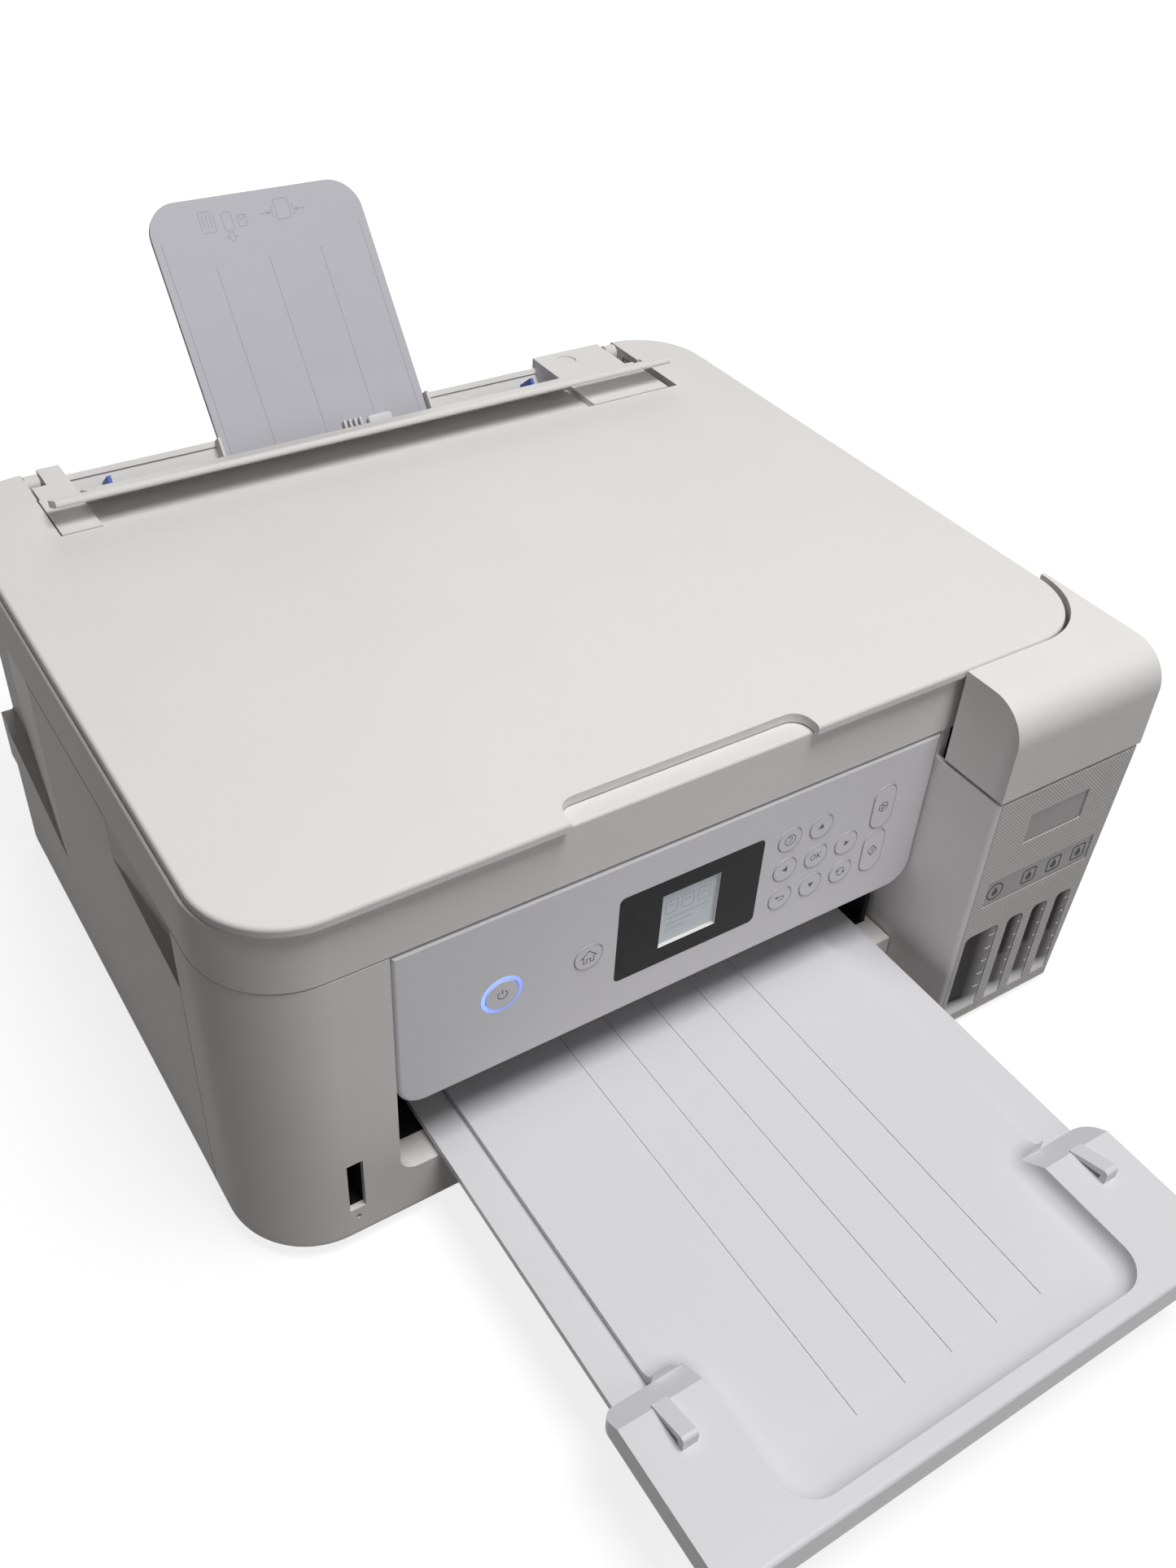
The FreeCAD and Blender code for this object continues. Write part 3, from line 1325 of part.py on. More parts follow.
def make_print_frame():
    body = new_body("print_frame")
    depth = ("frame_front", "frame_back")
    block(body, (f"-{FRAME_OUTER}", f"-({FRAME_INNER})"), depth, (PAN_TOP, "frame_top"))
    block(body, (f"-{FRAME_OUTER}", FRAME_OUTER), ("rail_place", "rail_place + frame_thickness"),
          ("rail_low", "frame_top"))
    block(body, (FRAME_INNER, FRAME_OUTER), depth, (PAN_TOP, "frame_top"))
    across = (f"-{FRAME_OUTER} - 1", f"{FRAME_OUTER} + 1")
    rod(body, "x", "guide_rod_radius + rod_fit", across, "guide_rod_place", "guide_rod_level", cut=True)
    for place_y, level in (("feed_place", FEED_LEVEL), ("eject_place", EJECT_LEVEL),
                           (PICKUP_PLACE, "pickup_height")):
        rod(body, "x", "shaft_radius + shaft_fit", across, place_y, level, cut=True)
    rod(body, "y", "motor_shaft + shaft_fit", ("rail_place - 1", "rail_place + frame_thickness + 1"),
        "belt_end", BELT_MIDDLE,
        cut=True)
    rod(body, "y", PULLEY, ("belt_front", "rail_place + 1"), "-belt_end", BELT_MIDDLE)
    return body


def make_guide_rod():
    body = new_body("guide_rod")
    rod(body, "x", "guide_rod_radius", (f"-{FRAME_OUTER}", FRAME_OUTER), "guide_rod_place",
        "guide_rod_level")
    return body


def make_carriage():
    body = new_body("carriage")
    across = (CARRIAGE_LEFT, f"{CARRIAGE_LEFT} + carriage_width")
    block(body, across, ("carriage_front", "carriage_back"), ("carriage_low", "carriage_high"))
    soften(body, edges_on(body, "front top"), "head_border")
    rod(body, "x", "guide_rod_radius + rod_fit",
        (f"{CARRIAGE_LEFT} - 1", f"{CARRIAGE_LEFT} + carriage_width + 1"),
        "guide_rod_place", "guide_rod_level", cut=True)
    return body


def make_print_head():
    body = new_body("print_head")
    block(body, (f"{CARRIAGE_LEFT} + head_border", f"{CARRIAGE_LEFT} + carriage_width - head_border"),
          ("carriage_front + head_border", "carriage_back - head_border * 2"),
          ("carriage_low - head_height", "carriage_low"))
    return body


def make_carriage_belt():
    body = new_body("carriage_belt")
    depth = ("belt_front", BELT_BACK)
    clear = ("belt_front - 1", f"{BELT_BACK} + 1")
    half = "(belt_high - belt_low) / 2"
    block(body, ("-belt_end", "belt_end"), depth, ("belt_low", "belt_high"))
    for x in ("-belt_end", "belt_end"):
        rod(body, "y", half, depth, x, BELT_MIDDLE)
    block(body, ("-belt_end", "belt_end"), clear,
          ("belt_low + belt_thickness", "belt_high - belt_thickness"), cut=True)
    for x in ("-belt_end", "belt_end"):
        rod(body, "y", f"{half} - belt_thickness", clear, x, BELT_MIDDLE, cut=True)
    return body


def make_carriage_motor():
    body = new_body("carriage_motor")
    face = "rail_place + frame_thickness"
    rod(body, "y", "motor_radius", (face, f"{face} + motor_length"), "belt_end", BELT_MIDDLE)
    rod(body, "y", "motor_shaft", ("belt_front", f"{face} + 1"), "belt_end", BELT_MIDDLE)
    rod(body, "y", PULLEY, ("belt_front", BELT_BACK), "belt_end", BELT_MIDDLE)
    return body


def make_platen():
    body = new_body("platen")
    block(body, (f"-({FRAME_INNER}) + pan_clearance", PLATEN_RIGHT), ("platen_front", "platen_back"),
          ("paper_level - platen_depth", "paper_level"))
    return body


def make_roller(label, y, z, radius, span, gear=False):
    """A shaft across the print frame with a roller on it."""
    body = new_body(label)
    left = f"-{FRAME_OUTER} - gear_gap - gear_thickness" if gear else f"-{FRAME_OUTER}"
    rod(body, "x", "shaft_radius", (left, FRAME_OUTER), y, z)
    rod(body, "x", radius, span, y, z)
    if gear:
        rod(body, "x", "gear_radius", (left, f"-{FRAME_OUTER} - gear_gap"), y, z)
    return body


def make_feed_motor():
    body = new_body("feed_motor")
    wall = f"-({FRAME_INNER})"
    rod(body, "x", "motor_radius", (wall, f"{wall} + motor_length"), "frame_back - motor_radius * 3",
        f"{PAN_TOP} + motor_radius * 2")
    return body


def make_cap_station():
    body = new_body("cap_station")
    block(body, (STATION_LEFT, f"{STATION_LEFT} + station_width"),
          ("platen_front", "platen_back - head_border"),
          (PAN_TOP, "carriage_low - head_height - station_play"))
    return body


# Electrics

def make_main_board():
    body = new_body("main_board")
    block(body, ("board_left", "board_left + board_width"), ("board_front", "board_front + board_depth"),
          (f"{PAN_TOP} + standoff_height", BOARD_TOP))
    return body


def make_power_supply():
    body = new_body("power_supply")
    block(body, (f"{HALF} - supply_gap - supply_width", f"{HALF} - supply_gap"),
          ("supply_front", "supply_front + supply_depth"),
          (PAN_TOP, f"{PAN_TOP} + supply_height"))
    return body


def make_power_inlet():
    body = new_body("power_inlet")
    half_width, half_height = "inlet_width / 2", "inlet_height / 2"
    block(body, (f"inlet_place - {half_width}", f"inlet_place + {half_width}"),
          ("rear_face - inlet_depth", "rear_face"),
          (f"inlet_level - {half_height}", f"inlet_level + {half_height}"))
    block(body, (f"inlet_place - {half_width} + inlet_wall", f"inlet_place + {half_width} - inlet_wall"),
          ("rear_face - inlet_hollow", "rear_face + 1"),
          (f"inlet_level - {half_height} + inlet_wall",
           f"inlet_level + {half_height} - inlet_wall"), cut=True)
    return body


def make_data_port():
    body = new_body("data_port")
    half_width = "port_width / 2"
    block(body, (f"port_place - {half_width}", f"port_place + {half_width}"),
          ("rear_face - port_depth", "rear_face"),
          (BOARD_TOP, f"{BOARD_TOP} + port_height"))
    block(body, (f"port_place - {half_width} + inlet_wall", f"port_place + {half_width} - inlet_wall"),
          ("rear_face - inlet_hollow", "rear_face + 1"),
          (f"{BOARD_TOP} + inlet_wall", f"{BOARD_TOP} + port_height - inlet_wall"), cut=True)
    return body


# Build and export

def make_all():
    bodies = [
        make_base_pan(), make_feet(), make_main_case(), make_screws(), make_front_cover(),
        make_card_reader(), make_rear_cover(), make_tank_housing(), make_tank_lid(), make_ink_tanks(),
        make_scanner_housing(), make_scanner_glass(), make_scan_bar(), make_document_cover(),
        make_document_pad(), make_feeder_frame(), make_paper_support(), make_feeder_guard(),
        make_edge_guide("edge_guide_left", "-"), make_edge_guide("edge_guide_right", "+"),
        make_control_panel(), make_lcd_window(), make_lcd_screen(), make_power_ring(), make_panel_board(),
        make_output_frame(), make_output_tray(), make_tray_extension(),
        make_print_frame(), make_guide_rod(), make_carriage(), make_print_head(), make_carriage_belt(),
        make_carriage_motor(), make_platen(), make_feed_motor(), make_cap_station(),
        make_main_board(), make_power_supply(), make_power_inlet(), make_data_port(),
    ]
    wide = (f"-({FRAME_INNER}) + shaft_radius", PLATEN_RIGHT)
    middle = ("feed_centre - pickup_width / 2", "feed_centre + pickup_width / 2")
    bodies.append(make_roller("feed_roller", "feed_place", FEED_LEVEL, "feed_radius", wide, gear=True))
    bodies.append(make_roller("eject_roller", "eject_place", EJECT_LEVEL, "eject_radius", wide))
    bodies.append(make_roller("pickup_roller", PICKUP_PLACE, "pickup_height", "pickup_radius", middle))
    bodies += [make_tank_cap(index) for index in range(len(TANKS))]
    bodies += [make_round_button(label, *where) for label, where in ROUND_BUTTONS.items()]
    bodies += [make_capsule_button(label, *where) for label, where in CAPSULES.items()]
    return bodies


def export_all(bodies):
    doc.recompute()
    for thing in doc.Objects:
        if "Invalid" in thing.State or "Error" in thing.State:
            raise RuntimeError(f"{thing.Label}: {thing.State}")
    os.makedirs("parts", exist_ok=True)
    for body in bodies:
        if body.Shape.isNull() or not body.Shape.isValid():
            raise RuntimeError(f"{body.Label}: bad shape")
        body.Shape.exportStep(f"parts/{body.Label}.step")


export_all(make_all())
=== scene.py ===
import json
import math

import bmesh
import bpy
import numpy as np
from bpy.props import FloatProperty, FloatVectorProperty, PointerProperty
from mathutils import Matrix, Vector


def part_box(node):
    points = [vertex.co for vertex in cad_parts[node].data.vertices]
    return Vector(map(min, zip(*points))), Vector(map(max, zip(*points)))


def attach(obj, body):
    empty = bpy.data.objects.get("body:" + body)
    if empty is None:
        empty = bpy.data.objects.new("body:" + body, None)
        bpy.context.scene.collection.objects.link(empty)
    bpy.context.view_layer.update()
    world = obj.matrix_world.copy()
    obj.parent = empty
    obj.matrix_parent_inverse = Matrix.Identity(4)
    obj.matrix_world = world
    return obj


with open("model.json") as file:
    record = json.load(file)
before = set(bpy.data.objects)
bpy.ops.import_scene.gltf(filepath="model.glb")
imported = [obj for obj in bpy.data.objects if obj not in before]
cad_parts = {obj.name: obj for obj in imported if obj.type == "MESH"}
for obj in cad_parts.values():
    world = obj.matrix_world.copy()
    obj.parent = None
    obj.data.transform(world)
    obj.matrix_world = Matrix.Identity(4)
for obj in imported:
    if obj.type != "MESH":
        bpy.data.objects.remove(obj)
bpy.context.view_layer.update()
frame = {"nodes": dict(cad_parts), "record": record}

bl_info = {
    "name": "Inkjet printer",
    "version": (1, 0, 0),
    "blender": (4, 5, 0),
    "location": "3D View > Sidebar > Printer",
    "description": "Finishes, printed marks and studio for an inkjet printer with scanner and ink tanks",
    "category": "Object",
}

NODES = frame["nodes"]
SLOT_OF = {part["node"]: part["material_slot"] for part in frame["record"]["subparts"]}
MM = 0.001

# Tank windows and labels, in millimetres; a label has its left, right, low and high edge and its depth
TANKS = ("black", "yellow", "magenta", "cyan")
WINDOW_LOW, WINDOW_HIGH = 10.0, 60.0
WINDOW_SPANS = ((113.05, 132.05), (137.45, 146.65), (152.05, 161.25), (166.65, 175.85))
WINDOW_GAP = 0.05
SCOOP_SETBACK = 0.35
# Where a scoop starts to deepen and over how much it does, as shares of the window's height
SCOOP_FOOT, SCOOP_RISE = 0.02, 0.16
LEVEL_MARKS = np.linspace(12, 44, 5)
LEVEL_MARK_DEPTH, LEVEL_MARK_HEIGHT, LEVEL_MARK_WIDTH = 0.55, 0.25, 0.5
LEVEL_MARK_SHARE, LEVEL_MARK_GAP = 0.2, 0.3
LABELS = {"tank_plate": (130.5, 163.5, 106.0, 121.5, 0.6), "tank_strip": (117.0, 178.0, 76.0, 90.0, 0.5)}
LABEL_GAP, LABEL_HEIGHT, LABEL_CORNER = 0.4, 0.12, 1.2
TANK_MARK_WIDTH = 0.8

# How full the tanks look: shares of a window's height, and a height in metres for the tanks themselves
BLACK_SHARE, COLOUR_SHARE = 0.64, 0.5
INK_LEVEL = 0.030

# Buttons: how far the flange under each stands out, in millimetres
BUTTON_FLANGE = 1.2
CAPSULE_FLANGES = {"stop_button": 0.45, "start_button": 0.45}

# Display: places of its boxes and ends of its lines about its middle, in millimetres
DISPLAY_BOXES = (-7.5, 0.0, 7.5)
DISPLAY_LINES = (((-10.5, -1.4), (10.5, -1.4)), ((-9.5, -4.6), (2.5, -4.6)), ((-9.5, -7.4), (-1.0, -7.4)))
LINING_INSET, LINING_SETBACK = 0.06, 0.1

# Paper's side of the feeder slope, and what lies on it, measured along it from its top in millimetres
SLOPE_TOP = np.array([-12.5, 208.584, 174.6])
SLOPE_UP = np.array([0, math.sin(math.radians(39)), math.cos(math.radians(39))])
SUPPORT_LINE_FOOT = -18
SUPPORT_LINES = ((-27.0, 78), (-1.0, 78), (25.0, 78), (-48.5, 90), (48.0, 88))
STACK_SIGN, SHEET_SIGN = (-24.5, 97.0), (12.5, 98.0)
FINS = (8.0, 10.7, 13.4, 16.1)
FIN_DEPTH, FIN_TOP = 2.6, -3.2
BLOCK_MIDDLE, BLOCK_WIDTH, BLOCK_DEPTH, BLOCK_TOP = 26.0, 12.5, 3.0, -3.6
BAR_LENGTH, BAR_SETBACK = 20, 0.35
# Angle at which the dome on a bar is closed by a flat, in radians
DOME_END = 1.45

# Woven fronts, in metres
WEAVE_TOP = 0.152
WEAVE_FLAT = 0.0003
WEAVE_FADE = 0.004

# Size of the power ring's glow, and the grain of the smallest mouldings, in metres
RING_RADIUS = 0.009
FINE_GRAIN, FINE_DEPTH, LINING_DEPTH = 0.0005, 0.00003, 0.00002

# Lamps: where each stands, where it points and how wide it is, in metres
LAMPS = {
    "overhead": ((0.12, -0.40, 1.5), (0.03, -0.05, 0.1), 0.6),
    "front": ((0.12, -1.3, 0.75), (0.05, -0.1, 0.1), 0.5),
    "back": ((0.45, 1.5, 0.7), (0, 0.1, 0.1), 0.8),
}
FLOOR_HALF = 6.0
FLOOR_GLOW_NEAR, FLOOR_GLOW_FAR = 0.82, 1.0
FLOOR_NEAR, FLOOR_FAR = 0.35, 1.1
SENSOR_WIDTH = 36.0
CLIP_START, CLIP_END = 0.01, 20.0

# Moulded finishes by slot: name, colour, roughness, grain and its depth over the usual ones, mottle, gloss
MOULDED = {
    "case": ("moulded_white", "case", 0.56, 1.0, 1.0, 0.02, 0.15),
    "tray": ("tray_white", "tray", 0.34, 1.4, 0.4, 0.01, 0.25),
    "support": ("support_grey", "support", 0.5, 1.0, 1.0, 0.03, 0.15),
    "panel": ("panel_grey", "panel", 0.42, 0.7, 0.3, 0.02, 0.15),
    "button": ("button_grey", "panel", 0.42, 0.7, 0.3, 0.02, 0.15),
    "dark_plastic": ("dark_plastic", "dark", 0.55, 1.0, 1.0, 0.2, 0.15),
    "pad": ("foam_pad", "pad", 0.85, 2.0, 4.0, 0.03, 0.15),
    "rubber": ("rubber", "rubber", 0.8, 1.0, 2.0, 0.2, 0.15),
    "cap_black": ("cap_black", "cap_black", 0.5, 1.0, 1.0, 0.02, 0.15),
    "cap_yellow": ("cap_yellow", "cap_yellow", 0.5, 1.0, 1.0, 0.02, 0.15),
    "cap_magenta": ("cap_magenta", "cap_magenta", 0.5, 1.0, 1.0, 0.02, 0.15),
    "cap_cyan": ("cap_cyan", "cap_cyan", 0.5, 1.0, 1.0, 0.02, 0.15),
}

# Scales of the clouds in colour and in gloss, per metre
COLOUR_CLOUDS, GLOSS_CLOUDS = 22.0, 60.0

# Least cosine of half the turn at a mitred corner of a printed line
MITRE_LIMIT = 0.35

# Places of the colour sockets on a mix node
MIX_FIRST, MIX_SECOND, MIX_RESULT = 6, 7, 2


def node_box(name):
    """Lowest and highest corner of a CAD node, in millimetres."""
    low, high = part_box(name)
    return np.array(low) / MM, np.array(high) / MM


def front_middle(low, high):
    """Middle of the front face of a box."""
    return np.array([(low[0] + high[0]) / 2, low[1], (low[2] + high[2]) / 2])


# Settings

def colour(name, words, value):
    """A colour setting, in linear red, green and blue."""
    return FloatVectorProperty(
        name=name, description=words, default=value, size=3, subtype="COLOR", min=0, max=1)


def length(name, words, value):
    """A length setting, given in millimetres and kept in metres."""
    return FloatProperty(
        name=name, description=words, default=value * MM, subtype="DISTANCE", unit="LENGTH", min=0)


def direction(name, words, value):
    """A direction setting."""
    return FloatVectorProperty(name=name, description=words, default=value, size=3, subtype="DIRECTION")


def power(name, words, value):
    """A lamp's power setting, in watts."""
    return FloatProperty(name=name, description=words, default=value, subtype="POWER")


class PrinterColours(bpy.types.PropertyGroup):
    """Colours of the printer's finishes, linear"""
    case: colour("Case", "Moulded white of the case and the cover", (0.72, 0.70, 0.685))
    # Lighter than the case's white, as painted light on the tank unit's left side; the weave's dark threads
    # bring the front back down as painted shade
    tank_case: colour("Tank case", "White of the woven tank front", (0.74, 0.722, 0.71))
    label: colour("Label", "Satin grey of the bare plate and strip on the tank unit", (0.19, 0.182, 0.178))
    tray: colour("Tray", "White of the output tray", (0.70, 0.695, 0.71))
    support: colour("Support", "Pale grey of the paper support", (0.47, 0.465, 0.50))
    # Darker than the support, as painted shade in its pressed lines
    emboss: colour("Emboss", "Grey of the lines and signs on the paper support", (0.33, 0.33, 0.36))
    guide: colour("Edge guide", "Blue of the paper edge guides", (0.10, 0.16, 0.55))
    panel: colour("Panel", "Pale grey of the control panel", (0.70, 0.69, 0.715))
    mark: colour("Printed mark", "Grey of the printed signs", (0.09, 0.09, 0.095))
    outline: colour("Outline", "Grey of the line round each button", (0.33, 0.325, 0.33))
    window: colour("Display window", "Smoked black round the display", (0.009, 0.008, 0.0085))
    display: colour("Display", "Pale silver of the display", (0.62, 0.66, 0.70))
    screen_line: colour("Screen line", "Faint grey of the signs on the display", (0.36, 0.40, 0.43))
    ring: colour("Lit ring", "Blue light round the power button", (0.09, 0.21, 1.0))
    ring_plastic: colour("Ring plastic", "Light guide of the ring under its glow", (0.5, 0.52, 0.6))
    dark: colour("Dark plastic", "Black of the inside pieces", (0.012, 0.012, 0.013))
    tank: colour("Tank plastic", "Smoky clear plastic of the ink tanks", (0.20, 0.185, 0.18))
    ink: colour("Ink", "Black ink in the first tank", (0.01, 0.011, 0.016))
    # Window colours: the deep side's dark is painted shade, the pale edge is painted light on the flush side,
    # and the white foot is a painted highlight
    scoop: colour("Window", "Dark of a tank window on its deep side", (0.012, 0.009, 0.0085))
    scoop_edge: colour("Window edge", "Pale edge of a tank window", (0.40, 0.385, 0.38))
    scoop_foot_painted_light: colour("Window foot", "White at the foot of a tank window", (0.94, 0.94, 0.95))
    cap_black: colour("Black cap", "Cap of the black tank", (0.02, 0.02, 0.02))
    cap_yellow: colour("Yellow cap", "Cap of the yellow tank", (0.75, 0.50, 0.02))
    cap_magenta: colour("Magenta cap", "Cap of the magenta tank", (0.52, 0.02, 0.14))
    cap_cyan: colour("Cyan cap", "Cap of the cyan tank", (0.01, 0.22, 0.50))
    glass: colour("Glass", "Faint green of the scanner glass", (0.86, 0.93, 0.91))
    pad: colour("Pad", "Off-white of the document pad", (0.80, 0.80, 0.79))
    rubber: colour("Rubber", "Feet, belt and pickup roller", (0.02, 0.02, 0.02))
    steel: colour("Steel", "Sheet steel and shafts", (0.56, 0.57, 0.58))
    board: colour("Board", "Green of the circuit boards", (0.01, 0.09, 0.035))
    floor: colour("Floor", "Pale floor under the printer, before its glow", (0.22, 0.22, 0.22))


class PrinterSizes(bpy.types.PropertyGroup):
    """Sizes of the surface details"""
    grain: length("Grain", "Size of the moulded grain", 0.55)
    grain_depth: length("Grain depth", "Depth of the moulded grain", 0.03)
    weave: length("Weave", "Pitch of the woven tank front", 1.1)
    weave_depth: length("Weave depth", "Depth of the woven tank front", 0.10)
    outline: length("Outline", "Width of the line round a button", 0.3)
    stroke: length("Stroke", "Width of a printed stroke", 0.36)
    fine_stroke: length("Fine stroke", "Width of a line on the display or the support", 0.3)
    scoop: length("Scoop", "How much deeper a tank window is at its left", 1.9)
    fin: length("Fin", "Thickness of a fin of the paper slider", 1.3)
    print_height: length("Print height", "How far a printed mark stands proud", 0.04)


class StudioSettings(bpy.types.PropertyGroup):
    """Camera and lights"""
    camera_place: FloatVectorProperty(
        name="Camera place", description="Where the camera stands", size=3,
        subtype="TRANSLATION", unit="LENGTH", default=(-0.26982, -0.392246, 0.50074))
    camera_right: direction(
        "Camera right", "Direction to the right of the picture", (0.84055, -0.53958, 0.04838))
    camera_up: direction("Camera up", "Direction to the top of the picture", (0.31796, 0.56367, 0.76235))
    lens: FloatProperty(name="Lens", description="Focal length in millimetres", default=34.146, unit="CAMERA")
    overhead: power("Overhead", "Power of the light above", 18.5)
    front: power("Front", "Power of the light before the printer", 2.0)
    back: power("Back", "Power of the light behind the printer", 5.0)
    sky: FloatProperty(name="Sky", description="Strength of the even light all round", default=0.06)
    ring: FloatProperty(name="Ring", description="Strength of the lit ring's glow", default=1.6)


def settings(scene):
    """The colours and the sizes of a scene."""
    return scene.printer_colours, scene.printer_sizes


# Finishes

class Finish:
    """One material under construction: a shader, its output, and Object coordinates."""

    def __init__(self, name):
        self.material = bpy.data.materials.new(name)
        self.material.use_nodes = True
        self.tree = self.material.node_tree
        self.tree.nodes.clear()
        output = self.tree.nodes.new("ShaderNodeOutputMaterial")
        self.shader = self.tree.nodes.new("ShaderNodeBsdfPrincipled")
        self.tree.links.new(self.shader.outputs["BSDF"], output.inputs["Surface"])
        self.place = self.tree.nodes.new("ShaderNodeTexCoord").outputs["Object"]

    def put(self, socket, value):
        """Set a constant on the shader's own socket."""
        self.shader.inputs[socket].default_value = value

    def feed(self, socket, output):
        """Link an output to one of the shader's sockets."""
        self.tree.links.new(output, self.shader.inputs[socket])

    def add(self, kind, values):
        """A new node, each named input linked where its value is an output and otherwise set to it."""
        node = self.tree.nodes.new("ShaderNode" + kind)
        for socket, value in values.items():
            if isinstance(value, bpy.types.NodeSocket):
                self.tree.links.new(value, node.inputs[socket])
            else:
                node.inputs[socket].default_value = value
        return node

    def mapped(self, scale=(1, 1, 1), turn=(0, 0, 0)):
        """The piece's own coordinates, scaled and turned."""
        return self.add("Mapping", {"Vector": self.place, "Scale": scale, "Rotation": turn}).outputs["Vector"]

    def noise(self, scale, detail=2.0, vector=None, rough=0.5):
        """Cloudy noise from 0 to 1."""
        values = {"Vector": vector or self.place, "Scale": scale, "Detail": detail, "Roughness": rough}
        return self.add("TexNoise", values).outputs["Fac"]

    def bands(self, scale, vector, along):
        """Waves from 0 to 1 along one direction."""
        node = self.add("TexWave", {"Vector": vector, "Scale": scale})
        node.wave_type = "BANDS"
        node.bands_direction = along
        return node.outputs["Fac"]

    def spread(self, value, low, high, start=0.0, end=1.0):
        """A value carried from the span between start and end to the one between low and high."""
        values = {"Value": value, "From Min": start, "From Max": end, "To Min": low, "To Max": high}
        return self.add("MapRange", values).outputs["Result"]

    def maths(self, kind, first, second):
        """Two values multiplied or subtracted, or the larger of them."""
        node = self.add("Math", {0: first, 1: second})
        node.operation = kind
        return node.outputs["Value"]

    def mixed(self, factor, first, second):
        """A colour between two, each of them a colour or an output."""
        node = self.tree.nodes.new("ShaderNodeMix")
        node.data_type = "RGBA"
        self.tree.links.new(factor, node.inputs["Factor"])
        for index, value in ((MIX_FIRST, first), (MIX_SECOND, second)):
            if isinstance(value, bpy.types.NodeSocket):
                self.tree.links.new(value, node.inputs[index])
            else:
                node.inputs[index].default_value = (*value, 1)
        return node.outputs[MIX_RESULT]

    def axis(self, name):
        """One of the piece's own coordinates."""
        return self.add("SeparateXYZ", {"Vector": self.place}).outputs[name]

    def sheet(self, name):
        """One coordinate of the piece's own UV map."""
        uv = self.add("UVMap", {}).outputs["UV"]
        return self.add("SeparateXYZ", {"Vector": uv}).outputs[name]

    def bump(self, height, distance, strength=1.0):
        """Raise the surface by a height, which reaches the distance where it is 1."""
        node = self.add("Bump", {"Height": height, "Distance": distance, "Strength": strength})
        self.feed("Normal", node.outputs["Normal"])


def seen_rays(tree):
    """1 for rays from the camera and for reflected and refracted ones, and 0 for those that carry light."""
    rays = tree.nodes.new("ShaderNodeLightPath")
    seen = rays.outputs["Is Camera Ray"]
    for kind in ("Is Glossy Ray", "Is Transmission Ray"):
        either = tree.nodes.new("ShaderNodeMath")
        either.operation = "MAXIMUM"
        tree.links.new(seen, either.inputs[0])
        tree.links.new(rays.outputs[kind], either.inputs[1])
        seen = either.outputs["Value"]
    return seen


def shade(tint, factor):
    """A colour made darker or lighter by a factor."""
    return tuple(channel * factor for channel in tint)


def moulded(name, tint, roughness, grain, depth, mottle=0.02, gloss=0.15):
    """Moulded plastic: a fine grain in the surface, and a faint cloudiness in colour and gloss."""
    made = Finish(name)
    clouds = made.noise(COLOUR_CLOUDS, detail=3.0)
    made.feed("Base Color", made.mixed(clouds, shade(tint, 1 - mottle), shade(tint, 1 + mottle)))
    uneven = made.noise(GLOSS_CLOUDS, detail=4.0)
    made.feed("Roughness", made.spread(uneven, low=roughness * 0.94, high=roughness * 1.06))
    made.bump(made.noise(1 / grain, detail=3.0, rough=0.6), depth)
    made.put("Specular IOR Level", gloss)
    return made.material


def woven(name, tint, pitch, depth, face, top, thread=0.42, fade=0.0002):
    """A diagonal weave pressed into plastic: two sets of bands that cross, with threads darker than the tint.

    It is only on the front, where it fades behind the face, and below the top. Very dark threads also darken
    the front as a whole, as painted shade."""
    made = Finish(name)
    turned = made.mapped(turn=(0, math.radians(45), 0))
    # At a scale of 1, a band's waves are a tenth of pi long
    scale = math.pi / 10 / pitch
    crossed = made.maths("MAXIMUM", made.bands(scale, turned, "X"), made.bands(scale, turned, "Z"))
    start = face + WEAVE_FLAT
    front = made.spread(made.axis("Y"), low=1, high=0, start=start, end=start + fade)
    lower = made.spread(made.axis("Z"), low=1, high=0, start=top, end=top + WEAVE_FADE)
    height = made.maths("MULTIPLY", crossed, made.maths("MULTIPLY", front, lower))
    clouds = made.mixed(made.noise(COLOUR_CLOUDS, detail=3.0), shade(tint, 0.97), shade(tint, 1.03))
    made.feed("Base Color", made.mixed(height, clouds, shade(tint, thread)))
    made.feed("Roughness", made.spread(made.noise(GLOSS_CLOUDS), low=0.46, high=0.6))
    made.bump(height, depth, strength=0.7)
    return made.material


def brushed(name, tint, roughness):
    """Steel with fine scratches along its length."""
    made = Finish(name)
    lines = made.noise(900.0, detail=4.0, vector=made.mapped(scale=(0.02, 1, 1)))
    made.feed("Base Color", made.mixed(lines, shade(tint, 0.85), shade(tint, 1.08)))
    made.feed("Roughness", made.spread(lines, low=roughness - 0.08, high=roughness + 0.1))
    made.bump(lines, distance=0.00002)
    made.put("Metallic", 1.0)
    return made.material


def glossy(name, tint, roughness, cloud=0.04, coat=0.25):
    """Smooth plastic with a clear top coat and a faint unevenness."""
    made = Finish(name)
    clouds = made.noise(40.0)
    made.feed("Base Color", made.mixed(clouds, shade(tint, 1 - cloud), shade(tint, 1 + cloud)))
    uneven = made.noise(90.0, detail=3.0)
    made.feed("Roughness", made.spread(uneven, low=roughness - 0.03, high=roughness + 0.05))
    made.bump(made.noise(700.0), distance=0.000006)
    made.put("Coat Weight", coat)
    made.put("Coat Roughness", 0.12)
    made.put("Specular IOR Level", 0.2 + coat)
    return made.material


